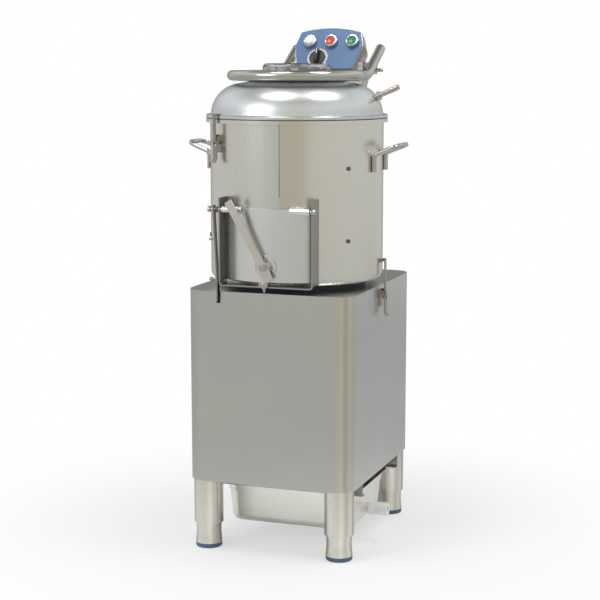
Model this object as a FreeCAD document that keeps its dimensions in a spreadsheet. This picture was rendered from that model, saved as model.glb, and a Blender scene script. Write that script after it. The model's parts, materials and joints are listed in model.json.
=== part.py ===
import FreeCAD, Part
import math
import os
import re
import Sketcher

# Electric potato peeler: a floor-standing catering machine with an abrasive drum, a discharge
# door, a domed cover with a hinged clear lid, a tilted control head and a waste tray.
# Millimetres, +Z up, front towards -Y. The origin is on the floor, under the middle of the
# machine's bounding box.

doc = FreeCAD.newDocument("potato_peeler")
vec = FreeCAD.Vector

# Driving dimensions
driving = {
    "leg_height": 156, "leg_inset": 37, "leg_tube_radius": 32, "leg_tube_wall": 2, "leg_tube_foot": 56,
    "leg_tube_rise": 70, "sleeve_radius": 27.75, "sleeve_flare": 1.5, "sleeve_wall": 2.5, "sleeve_length": 100,
    "foot_height": 10, "foot_plug": 12,
    "cabinet_width": 377, "cabinet_depth": 458, "cabinet_height": 420, "cabinet_shift": 37,
    "cabinet_corner": 40, "cabinet_wall": 1.5, "rail_leg": 30, "rail_wall": 4, "post_size": 25, "plate_wall": 4,
    "panel_width": 280, "panel_low": 64, "panel_high": 26, "panel_wall": 1.2, "window_margin": 15,
    "vent_length": 110, "vent_height": 6, "vent_pitch": 18, "vent_count": 8,
    "screw_head_radius": 4.5, "screw_head_height": 2.5, "screw_radius": 2.5,
    "gland_offset": 110, "gland_height": 45, "gland_radius": 9, "gland_length": 22,
    "drum_gap": 12, "drum_radius": 190, "drum_wall": 2, "drum_floor": 3, "drum_edge": 18, "drum_height": 351,
    "rim_radius": 198.5, "rim_height": 8, "seal_height": 2, "spacer_radius": 152, "spacer_width": 14,
    "liner_wall": 3.5, "liner_top_gap": 18, "screw_column": -35.6, "screw_low": 96.5, "screw_high": 250,
    "disc_gap": 1.2, "disc_level": 25, "disc_wall": 9, "rib_radius": 11, "hub_radius": 32, "cap_radius": 18,
    "duct_radius": 25, "duct_wall": 2, "duct_shift_x": 115, "duct_shift_y": 88, "duct_foot_gap": 8,
    "shaft_radius": 12.45, "shaft_fit": 0.05, "bearing_radius": 26, "bearing_width": 15, "housing_radius": 42,
    "housing_length": 96, "housing_flange": 65, "flange_wall": 8, "neck_radius": 30, "neck_rise": 14,
    "pulley_radius": 108, "motor_pulley_radius": 32, "pulley_width": 18, "pulley_gap": 4,
    "belt_width": 10, "belt_height": 8, "belt_gap": 0.4, "motor_shift": 158, "motor_radius": 72,
    "motor_length": 215, "motor_shaft_radius": 9.5, "motor_plate_size": 176, "motor_plate_wall": 6,
    "motor_rod_radius": 6,
    "grip_radius": 5, "grip_half": 43, "grip_low": 239, "grip_leg": 37, "grip_reach": 52, "grip_rise": 20,
    "door_frame_half": 105.5, "door_frame_front": 199, "door_frame_wall": 3, "door_frame_height": 188,
    "door_frame_corner": 8, "door_half": 91.5, "door_low": 13, "door_wall": 4, "door_seal_wall": 3,
    "door_gap": 0.4, "axle_forward": 194.5, "axle_level": 164, "axle_radius": 3.95, "axle_fit": 0.05,
    "knuckle_radius": 7, "knuckle_inner": 54, "knuckle_outer": 98, "opening_half": 82, "opening_margin": 9,
    "boss_radius": 24, "boss_level": 46, "boss_rise": 5, "boss_hub": 9, "lever_width": 16, "lever_wall": 5,
    "lever_length": 158, "lever_lean": 30, "tail_width": 22, "tail_length": 30, "tail_lean": 22,
    "lever_gap": 0.3, "bolt_radius": 5, "bolt_head": 8, "bolt_head_height": 4, "bolt_gap": 0.3, "catch_half": 10, "catch_height": 8.5,
    "catch_reach": 12, "arm_side": 117.5, "arm_foot_side": 109.7, "arm_wall": 3, "arm_depth": 12,
    "spring_radius": 5.6, "spring_wire": 1.1, "spring_pitch": 3,
    "slot_width": 8.6, "slot_depth": 25, "blade_depth": 20, "pin_reach": 130,
    "cover_wall": 4, "cover_radius": 188, "cover_height": 76, "mouth_radius": 100, "lip_height": 4,
    "lip_width": 4, "shoulder_radius": 133, "shoulder_drop": 6,
    "nozzle_angle": 6.4, "nozzle_tilt": 24, "nozzle_level": 44, "nozzle_radius": 5.5, "nozzle_length": 50,
    "nozzle_bore": 4,
    "ring_radius": 141.5, "ring_tube_radius": 11, "ring_tube_wall": 1.5, "ring_level": 90,
    "ring_leg_half": 103, "ring_bend_y": 190, "ring_end_y": 290, "ring_bend": 31, "ring_corner": 34,
    "lid_radius": 75, "lid_wall": 3, "lid_rise": 33, "lid_corner": 8, "lid_seal_height": 2.7,
    "hinge_y": 245, "hinge_level": 100, "hinge_radius": 4, "hinge_reach": 122, "bracket_wall": 5,
    "column_front": 203, "column_depth": 60, "column_half": 60, "column_top_half": 87, "column_taper_low": 360,
    "sheet_wall": 1.5, "head_tilt": 31, "head_y": 218, "head_level": 155, "head_half": 82, "head_top_half": 73,
    "head_foot_half": 68, "head_up": 37, "head_arch": 10, "head_down": 62, "head_depth": 46,
    "plate_front_wall": 2, "bezel_radius": 14.5, "bezel_height": 10, "bezel_floor": 0.8, "button_radius": 11.2, "button_fit": 0.2,
    "button_pitch": 51, "button_shift": 5.5, "button_row": 9, "button_travel": 3, "stem_radius": 4,
    "dial_radius": 24.5, "dial_height": 1.5, "dial_shift": -21, "dial_row": -33, "knob_radius": 19,
    "knob_skirt": 3, "knob_bar": 9, "knob_height": 15,
    "tray_width": 325, "tray_depth": 265, "tray_height": 94, "tray_shift": 9, "tray_rim_drop": 26,
    "tray_rim": 11, "tray_wall": 1, "tray_taper": 6.5, "tray_shoulder": 26, "tray_step": 3,
    "tray_corner": 45, "tray_edge": 18, "tray_rail_wall": 2, "tray_rail_flange": 12, "tray_gap": 1.5,
    "stub_radius": 12, "stub_wall": 2, "stub_level": 41, "stub_length": 21, "stub_shift": 8,
    "fitting_radius": 15, "fitting_length": 42,
    "latch_width": 22, "latch_wall": 2, "latch_lever": 42, "latch_fit": 0.3,
    "cover_latch_angle": -130, "cover_latch_drop": 40,
    "drum_latch_y": 16, "drum_latch_drop": 16, "hook_rise": 72,
}

# Places worked out from the driving dimensions
derived = {
    "cabinet_top": "leg_height + cabinet_height",
    "drum_bottom": "cabinet_top + drum_gap",
    "rim_top": "drum_bottom + drum_height",
    "cover_bottom": "rim_top + seal_height",
    "cover_top": "cover_bottom + cover_height",
    "mouth_top": "cover_top + lip_height",
    "door_back": "drum_radius + door_gap + door_seal_wall",
    "door_face": "door_back + door_wall",
    "lever_back": "door_face + boss_rise + boss_hub - 3",
    "lever_front": "lever_back + lever_wall",
    "rear_reach": "ring_end_y + ring_tube_radius * sin(ring_bend)",
    "front_reach": "lever_front + lever_gap + bolt_gap + bolt_head_height",
    "axis_y": "(front_reach - rear_reach) / 2",
    "cabinet_y": "axis_y + cabinet_shift",
    "cabinet_front": "cabinet_y - cabinet_depth / 2",
    "cabinet_rear": "cabinet_y + cabinet_depth / 2",
    "leg_x": "cabinet_width / 2 - leg_inset",
    "leg_front": "cabinet_front + leg_inset",
    "leg_rear": "cabinet_rear - leg_inset",
    "plate_top": "cabinet_top - cabinet_wall",
    "plate_bottom": "plate_top - plate_wall",
    "housing_bottom": "plate_bottom - flange_wall - housing_length",
    "pulley_top": "housing_bottom - pulley_gap",
    "pulley_bottom": "pulley_top - pulley_width",
    "motor_y": "axis_y + motor_shift",
    "motor_top": "pulley_bottom - pulley_gap - motor_plate_wall",
    "liner_radius": "drum_radius - drum_wall - liner_wall",
    "disc_bottom": "drum_bottom + disc_level",
    "disc_top": "disc_bottom + disc_wall",
    "neck_top": "drum_bottom + neck_rise",
    "door_bottom": "drum_bottom + door_low",
    "axle_z": "drum_bottom + axle_level",
    "axle_y": "axis_y - axle_forward",
    "door_top": "axle_z + 4",
    "seal_top": "axle_z - 2",
    "boss_z": "drum_bottom + boss_level",
    "frame_front": "axis_y - door_frame_front",
    "ring_z": "cover_bottom + ring_level",
    "hinge_z": "cover_bottom + hinge_level",
    "lid_z": "mouth_top + 0.3 + lid_seal_height",
    "head_z": "cover_bottom + head_level",
    "tray_top": "leg_height - tray_rim_drop",
    "tray_bottom": "tray_top - tray_height",
    "rail_flange_top": "tray_top - 1.7",
    "stub_z": "tray_bottom + stub_level",
    "duct_x": "-duct_shift_x",
    "duct_y": "axis_y + duct_shift_y",
}

sheet = doc.addObject("Spreadsheet::Sheet", "sizes")
for row, (name, number) in enumerate(driving.items(), start=1):
    sheet.set("A%d" % row, name)
    sheet.set("B%d" % row, str(number))
    sheet.setAlias("B%d" % row, name)
doc.recompute()

places = doc.addObject("App::VarSet", "places")


def formula(text):
    """The text with each size and place named as the document knows it."""
    def owner(match):
        word = match.group()
        if word in driving:
            return "sizes." + word
        if word in derived:
            return "places." + word
        return word
    return re.sub(r"[a-z][a-z_]*[a-z0-9]*", owner, str(text))


for name, text in derived.items():
    places.addProperty("App::PropertyFloat", name)
    places.setExpression(name, formula(text))
places.addProperty("App::PropertyFloat", "reading")
doc.recompute()


def value(text):
    """The number that a formula gives now."""
    places.setExpression("reading", formula(text))
    places.recompute()
    return places.reading


nodes = {}


def keep(name, obj):
    """Make an object the sub-part of that name."""
    obj.Label = name
    nodes[name] = obj
    return obj


def place(obj, x=0, y=0, z=0):
    for axis, text in (("x", x), ("y", y), ("z", z)):
        obj.setExpression("Placement.Base." + axis, formula(text))
    return obj


def bind(obj, cells):
    for prop, text in cells.items():
        obj.setExpression(prop, formula(text))
    return obj


def box(x, y, z, length, width, height):
    """A box from its low corner and its three sizes."""
    obj = doc.addObject("Part::Box", "box")
    bind(obj, {"Length": length, "Width": width, "Height": height})
    return place(obj, x, y, z)


turns = {
    "z": FreeCAD.Rotation(),
    "x": FreeCAD.Rotation(vec(0, 1, 0), 90),
    "y": FreeCAD.Rotation(vec(1, 0, 0), -90),
}


def rod(x, y, z, radius, length, along="z", top_radius=None):
    """A cylinder, or a cone, from the middle of its low end."""
    if top_radius is None:
        obj = doc.addObject("Part::Cylinder", "rod")
        bind(obj, {"Radius": radius, "Height": length})
    else:
        obj = doc.addObject("Part::Cone", "cone")
        bind(obj, {"Radius1": radius, "Radius2": top_radius, "Height": length})
    obj.Placement.Rotation = turns[along]
    return place(obj, x, y, z)


def fuse(*parts):
    obj = doc.addObject("Part::MultiFuse", "fuse")
    obj.Shapes = list(parts)
    obj.Refine = True
    return obj


def cut(base, *tools):
    obj = doc.addObject("Part::Cut", "cut")
    obj.Base = base
    obj.Tool = tools[0] if len(tools) == 1 else fuse(*tools)
    return obj


def common(first, second):
    obj = doc.addObject("Part::Common", "common")
    obj.Base = first
    obj.Tool = second
    return obj


def group(*parts):
    obj = doc.addObject("Part::Compound", "group")
    obj.Links = list(parts)
    return obj


def rounded(base, radius, picks):
    """Round the edges of a shape that the test picks."""
    doc.recompute()
    size = value(radius)
    edges = [i for i, edge in enumerate(base.Shape.Edges, start=1) if picks(edge)]
    obj = doc.addObject("Part::Fillet", "rounded")
    obj.Base = base
    obj.Edges = [(i, size, size) for i in edges]
    return obj


def upright(edge):
    low, high = edge.Vertexes[0].Point, edge.Vertexes[-1].Point
    return abs(low.x - high.x) + abs(low.y - high.y) < 0.001 and abs(low.z - high.z) > 1


def sketch_on(body, role, points):
    """A closed outline on one of the body's own planes. A point with a third entry starts an arc
    of that radius, which runs to the next point and bulges to the right of the way there."""
    plane = [item for item in body.Origin.OriginFeatures if item.Role == role][0]
    sketch = body.newObject("Sketcher::SketchObject", "outline")
    sketch.AttachmentSupport = [(plane, "")]
    sketch.MapMode = "FlatFace"
    spots = [vec(value(point[0]), value(point[1]), 0) for point in points]
    count = len(points)
    starts, ends = [], []
    for i, point in enumerate(points):
        here, there = spots[i], spots[(i + 1) % count]
        if len(point) == 2:
            sketch.addGeometry(Part.LineSegment(here, there), False)
            starts.append((i, 1))
            ends.append((i, 2))
            continue
        radius = value(point[2])
        half = (there - here) / 2
        side = vec(-half.y, half.x, 0).normalize()
        centre = here + half + side * math.sqrt(radius ** 2 - half.Length ** 2)
        middle = centre - side * radius
        sketch.addGeometry(Part.Arc(here, middle, there), False)
        first = sketch.getPoint(i, 1)
        forward = (first - here).Length < 0.001
        starts.append((i, 1 if forward else 2))
        ends.append((i, 2 if forward else 1))
    for i in range(count):
        link = ends[i] + starts[(i + 1) % count]
        sketch.addConstraint(Sketcher.Constraint("Coincident", *link))
    for i, point in enumerate(points):
        for kind, text, now in (("DistanceX", point[0], spots[i].x), ("DistanceY", point[1], spots[i].y)):
            index = sketch.addConstraint(Sketcher.Constraint(kind, -1, 1, *starts[i], now))
            sketch.setExpression("Constraints[%d]" % index, formula(text))
        if len(point) == 3:
            index = sketch.addConstraint(Sketcher.Constraint("Radius", i, value(point[2])))
            sketch.setExpression("Constraints[%d]" % index, formula(point[2]))
    return sketch


def turned(points, x=0, y=0, z=0, lean=0, about=vec(0, 1, 0), spin=0):
    """A body turned about its own Z axis from an outline of radius and height."""
    body = doc.addObject("PartDesign::Body", "turned")
    sketch = sketch_on(body, "XZ_Plane", points)
    turn = body.newObject("PartDesign::Revolution", "turn")
    turn.Profile = sketch
    turn.ReferenceAxis = (sketch, ["V_Axis"])
    turn.Angle = 360
    body.Tip = turn
    body.Placement.Rotation = FreeCAD.Rotation(vec(0, 0, 1), spin) * FreeCAD.Rotation(about, lean)
    return place(body, x, y, z)


def slab(points, thickness, role="XY_Plane", x=0, y=0, z=0, rotation=None):
    """A body padded from an outline on one of its planes."""
    body = doc.addObject("PartDesign::Body", "slab")
    sketch = sketch_on(body, role, points)
    pad = body.newObject("PartDesign::Pad", "pad")
    pad.Profile = sketch
    pad.setExpression("Length", formula(thickness))
    body.Tip = pad
    if rotation is not None:
        body.Placement.Rotation = rotation
    return place(body, x, y, z)


def ring_points(inner, outer, low, high):
    return [(inner, low), (outer, low), (outer, high), (inner, high)]


def bent_rod(name, points, corners, radius, wall=None):
    """A round rod or tube along straight runs joined by tangent arcs."""
    spots = [vec(*(value(part) for part in point)) for point in points]
    edges = []
    start = spots[0]
    for i, corner in enumerate(corners, start=1):
        bend = value(corner)
        back = (spots[i - 1] - spots[i]).normalize()
        ahead = (spots[i + 1] - spots[i]).normalize()
        half = back.getAngle(ahead) / 2
        reach = bend / math.tan(half)
        enter, leave = spots[i] + back * reach, spots[i] + ahead * reach
        inward = (back + ahead).normalize()
        middle = spots[i] + inward * (bend / math.sin(half) - bend)
        edges.append(Part.LineSegment(start, enter).toShape())
        edges.append(Part.Arc(enter, middle, leave).toShape())
        start = leave
    edges.append(Part.LineSegment(start, spots[-1]).toShape())
    return pipe_along(name, edges, radius, wall)


def pipe_along(name, edges, radius, wall=None):
    path = Part.Wire(edges)
    start = edges[0].valueAt(edges[0].FirstParameter)
    heading = edges[0].tangentAt(edges[0].FirstParameter)
    solids = []
    for size in [value(radius)] + ([value(radius) - value(wall)] if wall else []):
        section = Part.Wire(Part.makeCircle(size, start, heading))
        solids.append(path.makePipeShell([section], True, False))
    shape = solids[0].cut(solids[1]) if wall else solids[0]
    obj = doc.addObject("Part::Feature", name)
    obj.Shape = shape
    return obj

# Base frame: four leg tubes, the bottom rails, the corner posts

def base_frame():
    solids, bores = [], []
    for x in ("leg_x", "-leg_x"):
        for y in ("leg_front", "leg_rear"):
            tube_length = "leg_height + leg_tube_rise - leg_tube_foot"
            solids.append(rod(x, y, "leg_tube_foot", "leg_tube_radius", tube_length))
            post_x, post_y = x + " - post_size / 2", y + " - post_size / 2"
            solids.append(box(post_x, post_y, "leg_height + leg_tube_rise", "post_size", "post_size",
                              "plate_bottom - leg_height - leg_tube_rise"))
            bores.append(rod(x, y, "leg_tube_foot + 6", "leg_tube_radius - leg_tube_wall",
                             tube_length + " - 10"))
            bores.append(rod(x, y, "leg_tube_foot - 1", "sleeve_radius + 0.1", 8))
    side = "cabinet_width / 2 - cabinet_wall - 0.5"
    front = "cabinet_front + cabinet_wall + 0.5"
    rear = "cabinet_rear - cabinet_wall - 0.5"
    span_x, span_y = "2 * leg_x", "leg_rear - leg_front"
    solids += [
        box("-leg_x", front, "leg_height", span_x, "rail_wall", "rail_leg"),
        box("-leg_x", front, "leg_height", span_x, "rail_leg", "rail_wall"),
        box("-leg_x", rear + " - rail_wall", "leg_height", span_x, "rail_wall", "rail_leg"),
        box("-leg_x", rear + " - rail_leg", "leg_height", span_x, "rail_leg", "rail_wall"),
        box("-(" + side + ")", "leg_front", "leg_height", "rail_wall", span_y, "rail_leg"),
        box("-(" + side + ")", "leg_front", "leg_height", "rail_leg", span_y, "rail_wall"),
        box(side + " - rail_wall", "leg_front", "leg_height", "rail_wall", span_y, "rail_leg"),
        box(side + " - rail_leg", "leg_front", "leg_height", "rail_leg", span_y, "rail_wall"),
    ]
    return cut(fuse(*solids), *bores)


keep("base_frame", base_frame())

sleeve_outline = [
    ("sleeve_radius - sleeve_wall", "foot_height"), ("sleeve_radius + sleeve_flare", "foot_height"),
    ("sleeve_radius + sleeve_flare * 0.6", "foot_height + 8"), ("sleeve_radius - 0.6", "foot_height + 24"),
    ("sleeve_radius", "leg_tube_foot - 6"), ("sleeve_radius", "foot_height + sleeve_length"),
    ("sleeve_radius - sleeve_wall", "foot_height + sleeve_length"),
]
foot_outline = [
    (0, 0), ("sleeve_radius - 0.8", 0), ("sleeve_radius + sleeve_flare - 0.3", 2),
    ("sleeve_radius + sleeve_flare - 0.3", "foot_height"), ("sleeve_radius - sleeve_wall", "foot_height"),
    ("sleeve_radius - sleeve_wall", "foot_height + foot_plug"), (0, "foot_height + foot_plug"),
]
leg_spots = [(x, y) for x in ("-leg_x", "leg_x") for y in ("leg_front", "leg_rear")]
keep("leg_sleeves", group(*[turned(sleeve_outline, x, y) for x, y in leg_spots]))
keep("foot_caps", group(*[turned(foot_outline, x, y) for x, y in leg_spots]))

# Cabinet: one wrapped shell with a closed top, the plate under it, the rear cover


def cabinet_block(inset, low, height):
    block = box("-cabinet_width / 2 + " + inset, "cabinet_front + " + inset, low,
                "cabinet_width - 2 * " + inset, "cabinet_depth - 2 * " + inset, height)
    return rounded(block, "cabinet_corner - " + inset, upright)


panel_bottom = "leg_height + panel_low"
panel_height = "cabinet_height - panel_low - panel_high"
window = box("-panel_width / 2 + window_margin", "cabinet_rear - 5", panel_bottom + " + window_margin",
             "panel_width - 2 * window_margin", 10, panel_height + " - 2 * window_margin")
slot = box("-arm_foot_side - slot_width / 2", "cabinet_front - 1", "cabinet_top - slot_depth",
           "slot_width", 10, "slot_depth + 1")
column_slot = box("-column_half + 10", "axis_y + column_front + 12", "plate_bottom - 2", "2 * column_half - 20",
                  "column_depth - 24", "plate_wall + 6")
neck_hole = rod(0, "axis_y", "plate_bottom - 1", "neck_radius + 0.2", "plate_wall + cabinet_wall + 2")
duct_hole = rod("duct_x", "duct_y", "plate_bottom - 1", "duct_radius + 0.2", "plate_wall + cabinet_wall + 2")
gland_hole = rod("-gland_offset", "cabinet_rear - 4", "leg_height + gland_height", "gland_radius - 2", 8, "y")


def panel_screw_spots():
    edge = "panel_width / 2 - window_margin / 2"
    low, high = panel_bottom + " + 7", panel_bottom + " + " + panel_height + " - 7"
    middle = panel_bottom + " + (" + panel_height + ") / 2"
    return [(side + "(" + edge + ")", z) for side in ("", "-") for z in (low, middle, high)]


panel_holes = [rod(x, "cabinet_rear - 5", z, "screw_radius", 10, "y") for x, z in panel_screw_spots()]
shell = cut(cabinet_block("0", "leg_height", "cabinet_height"),
            cabinet_block("cabinet_wall", "leg_height - 1", "cabinet_height + 1 - cabinet_wall"))
keep("cabinet_shell", cut(shell, window, slot, column_slot, neck_hole, duct_hole, gland_hole, *panel_holes))

support = rounded(box("-cabinet_width / 2 + 17", "cabinet_front + 17", "plate_bottom", "cabinet_width - 34",
                      "cabinet_depth - 34", "plate_wall"), "cabinet_corner - 17", upright)


def motor_hanger():
    """The motor's own plate, hung under the support plate on four welded rods."""
    half = "motor_plate_size / 2"
    plate = box("-" + half, "motor_y - " + half, "motor_top", "motor_plate_size", "motor_plate_size",
                "motor_plate_wall")
    hole = rod(0, "motor_y", "motor_top - 1", "motor_shaft_radius + 4", "motor_plate_wall + 2")
    rods = [rod("%d * (motor_plate_size / 2 - 8)" % sx, "motor_y + %s" % y, "motor_top", "motor_rod_radius",
                "plate_bottom - motor_top") for sx in (-1, 1) for y in ("0", "motor_plate_size / 2 - 8")]
    return cut(fuse(plate, *rods), hole)


keep("support_plate", fuse(cut(support, column_slot, neck_hole, duct_hole), motor_hanger()))

vents = [box("-vent_length / 2", "cabinet_rear - 1", panel_bottom + " + (" + panel_height
             + ") / 2 + (%d - (vent_count - 1) / 2) * vent_pitch - vent_height / 2" % i,
             "vent_length", 5, "vent_height") for i in range(driving["vent_count"])]
panel = box("-panel_width / 2", "cabinet_rear", panel_bottom, "panel_width", "panel_wall", panel_height)
keep("rear_panel", cut(panel, *(vents + panel_holes)))
keep("panel_screws", group(*[fuse(
    rod(x, "cabinet_rear + panel_wall", z, "screw_head_radius", "screw_head_height", "y"),
    rod(x, "cabinet_rear - 4", z, "screw_radius", "panel_wall + 5", "y")) for x, z in panel_screw_spots()]))

gland_z = "leg_height + gland_height"
keep("cable_gland", cut(fuse(
    rod("-gland_offset", "cabinet_rear - 8", gland_z, "gland_radius - 2", 9, "y"),
    rod("-gland_offset", "cabinet_rear", gland_z, "gland_radius + 2", 5, "y"),
    rod("-gland_offset", "cabinet_rear + 5", gland_z, "gland_radius", "gland_length - 5", "y", "gland_radius - 3")),
    rod("-gland_offset", "cabinet_rear - 9", gland_z, 4, "gland_length + 10", "y")))


def tray_rail(side):
    """One Z-shaped rail across the machine; side is 1 at the rear and -1 at the front."""
    web = "cabinet_y + %d * (tray_depth / 2 + tray_gap) - %g * tray_rail_wall" % (side, 0 if side > 0 else 1)
    lip = "cabinet_y + %d * (tray_depth / 2 + tray_gap) - %g * tray_rail_flange" % (side, 1 if side > 0 else 0)
    low = "rail_flange_top - tray_rail_wall"
    length = "cabinet_width - 2 * cabinet_wall - 1"
    start = "-(cabinet_width / 2 - cabinet_wall - 0.5)"
    return fuse(box(start, web, low, length, "tray_rail_wall", "leg_height - rail_flange_top + tray_rail_wall"),
                box(start, lip, low, length, "tray_rail_flange", "tray_rail_wall"))


keep("tray_rails", group(tray_rail(-1), tray_rail(1)))

# Drive: motor on its hung plate, belt, shaft in its bearing housing


def groove_outline(bottom, top, radius, bore):
    middle = "(%s + %s) / 2" % (bottom, top)
    return [(bore, bottom), (radius, bottom), (radius, "%s - belt_width / 2 - 1.4" % middle),
            ("%s - belt_height - belt_gap" % radius, "%s - belt_width / 2 - belt_gap" % middle),
            ("%s - belt_height - belt_gap" % radius, "%s + belt_width / 2 + belt_gap" % middle),
            (radius, "%s + belt_width / 2 + 1.4" % middle), (radius, top), (bore, top)]


housing = [("shaft_radius + 3", "housing_bottom"), ("housing_radius", "housing_bottom"),
           ("housing_radius", "plate_bottom - flange_wall"), ("housing_flange", "plate_bottom - flange_wall"),
           ("housing_flange", "plate_bottom"), ("neck_radius", "plate_bottom"), ("neck_radius", "neck_top"),
           ("shaft_radius + 3", "neck_top")]
bearing_low, bearing_high = "housing_bottom + 4", "plate_bottom - flange_wall - bearing_width - 4"
bearing_seats = [rod(0, "axis_y", z, "bearing_radius", "bearing_width") for z in (bearing_low, bearing_high)]
keep("bearing_housing", cut(turned(housing, 0, "axis_y"), *bearing_seats))
keep("shaft_bearings", group(*[turned(ring_points("shaft_radius + shaft_fit", "bearing_radius", z,
                                                  z + " + bearing_width"), 0, "axis_y")
                               for z in (bearing_low, bearing_high)]))
keep("main_shaft", rod(0, "axis_y", "pulley_bottom - 6", "shaft_radius", "disc_top + 8 - pulley_bottom + 6"))
keep("shaft_pulley", turned(groove_outline("pulley_bottom", "pulley_top", "pulley_radius", "shaft_radius"),
                            0, "axis_y"))
motor_pulley = turned(groove_outline("pulley_bottom", "pulley_top", "motor_pulley_radius", 0), 0, "motor_y")
motor_stub = rod(0, "motor_y", "motor_top - 20", "motor_shaft_radius", "pulley_bottom + 20 - motor_top")
keep("motor_pulley", fuse(motor_pulley, motor_stub))
motor = [(0, "motor_top - motor_length"), ("motor_radius - 8", "motor_top - motor_length"),
         ("motor_radius", "motor_top - motor_length + 8"), ("motor_radius", "motor_top - 30"),
         ("motor_radius - 10", "motor_top - 18"), ("motor_radius - 10", "motor_top"), (0, "motor_top")]
motor_socket = rod(0, "motor_y", "motor_top - 24", "motor_shaft_radius + shaft_fit", 25)
terminal_box = box("motor_radius - 12", "motor_y - 35", "motor_top - 130", 38, 70, 80)
keep("motor_body", cut(fuse(turned(motor, 0, "motor_y"), terminal_box), motor_socket))


def belt_band(growth, low, height):
    """The outline of a band round both pulleys, grown from the groove's root, as a solid."""
    big = value("pulley_radius - belt_height + " + growth)
    small = value("motor_pulley_radius - belt_height + " + growth)
    apart = value("motor_shift")
    lean = math.asin((big - small) / apart)
    near, far = vec(0, value("axis_y"), value(low)), vec(0, value("motor_y"), value(low))
    right, left = vec(math.cos(lean), math.sin(lean), 0), vec(-math.cos(lean), math.sin(lean), 0)
    edges = [
        Part.Arc(near + left * big, near + vec(0, -big, 0), near + right * big).toShape(),
        Part.LineSegment(near + right * big, far + right * small).toShape(),
        Part.Arc(far + right * small, far + vec(0, small, 0), far + left * small).toShape(),
        Part.LineSegment(far + left * small, near + left * big).toShape(),
    ]
    return Part.Face(Part.Wire(edges)).extrude(vec(0, 0, value(height)))


belt = doc.addObject("Part::Feature", "belt")
belt_low = "(pulley_bottom + pulley_top) / 2 - belt_width / 2"
belt.Shape = belt_band("belt_height", belt_low, "belt_width").cut(belt_band("0", belt_low, "belt_width"))
keep("v_belt", belt)

# Drum: shell with rim, spacer under it, rim seal, abrasive liner, disc and its cap

drum_outline = [
    (0, "drum_bottom"), ("drum_radius - drum_edge", "drum_bottom", "drum_edge"),
    ("drum_radius", "drum_bottom + drum_edge"), ("drum_radius", "rim_top - rim_height"),
    ("rim_radius", "rim_top - rim_height"), ("rim_radius", "rim_top"),
    ("drum_radius - drum_wall", "rim_top"), ("drum_radius - drum_wall", "drum_bottom + drum_edge"),
    ("drum_radius - drum_edge", "drum_bottom + drum_floor"), (0, "drum_bottom + drum_floor"),
]
opening = box("-opening_half", "axis_y - drum_radius - 5", "door_bottom + opening_margin", "2 * opening_half",
              60, "seal_top + 1 - door_bottom - 2 * opening_margin")
drum_neck = rod(0, "axis_y", "drum_bottom - 1", "neck_radius + 0.2", "drum_floor + 2")
drum_drain = rod("duct_x", "duct_y", "drum_bottom - 1", "duct_radius - duct_wall", "drum_floor + 2")
screw_levels = ("drum_bottom + screw_low", "drum_bottom + screw_high")
screw_turns = [value("screw_column + %d" % turn) for turn in (0, 120, 240)]


def drum_rod(turn, level, radius, start, length):
    obj = rod(0, 0, 0, radius, length, "x")
    spin = FreeCAD.Rotation(vec(0, 0, 1), turn)
    obj.Placement.Rotation = spin * turns["x"]
    out = "(" + start + ")"
    return place(obj, "%s * cos(%g)" % (out, turn), "axis_y + %s * sin(%g)" % (out, turn), level)


liner_holes = [drum_rod(turn, level, "screw_radius", "liner_radius - 2", "liner_wall + drum_wall + 6")
               for turn in screw_turns for level in screw_levels]
keep("drum_shell", cut(turned(drum_outline, 0, "axis_y"), opening, drum_neck, drum_drain, *liner_holes))
spacer = turned(ring_points("spacer_radius - spacer_width", "spacer_radius", "cabinet_top", "drum_bottom"),
                0, "axis_y")
duct_way = rod("duct_x", "duct_y", "cabinet_top - 1", "duct_radius + 0.2", "drum_gap + 2")
keep("drum_spacer", cut(spacer, duct_way))
keep("rim_seal", turned(ring_points("drum_radius - drum_wall", "rim_radius - 1.5", "rim_top",
                                    "cover_bottom"), 0, "axis_y"))
liner = turned(ring_points("liner_radius", "drum_radius - drum_wall", "disc_bottom - 4",
                           "rim_top - liner_top_gap"), 0, "axis_y")
keep("abrasive_liner", cut(liner, opening, *liner_holes))
keep("liner_screws", group(*[fuse(
    drum_rod(turn, level, "screw_head_radius", "drum_radius", "screw_head_height"),
    drum_rod(turn, level, "screw_radius", "liner_radius", "liner_wall + drum_wall + 1"))
    for turn in screw_turns for level in screw_levels]))

disc_outline = [
    ("shaft_radius", "neck_top + 3"), ("hub_radius", "neck_top + 3"), ("hub_radius", "disc_bottom"),
    ("liner_radius - disc_gap", "disc_bottom"), ("liner_radius - disc_gap", "disc_top"),
    ("shaft_radius", "disc_top"),
]
ribs = []
for turn in (30, 150, 270):
    rib = drum_rod(turn, "disc_top", "rib_radius", "hub_radius + 8", "liner_radius - hub_radius - 30")
    ribs.append(rib)
floor_cut = rod(0, "axis_y", "disc_top - 2 * rib_radius", "liner_radius", "2 * rib_radius - disc_wall")
keep("abrasive_disc", cut(fuse(turned(disc_outline, 0, "axis_y"), *ribs),
                          cut(floor_cut, rod(0, "axis_y", "disc_top - 3 * rib_radius", "hub_radius", 60))))
cap_outline = [
    ("shaft_radius", "disc_top"), ("cap_radius", "disc_top"), ("cap_radius", "disc_top + 8"),
    ("cap_radius - 7", "disc_top + 16"), (0, "disc_top + 16"), (0, "disc_top + 8"),
    ("shaft_radius", "disc_top + 8"),
]
keep("disc_cap", turned(cap_outline, 0, "axis_y"))
keep("waste_duct", cut(
    rod("duct_x", "duct_y", "tray_top + duct_foot_gap", "duct_radius", "drum_bottom - tray_top - duct_foot_gap"),
    rod("duct_x", "duct_y", "tray_top + duct_foot_gap - 1", "duct_radius - duct_wall",
        "drum_bottom - tray_top - duct_foot_gap + 2")))


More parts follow.
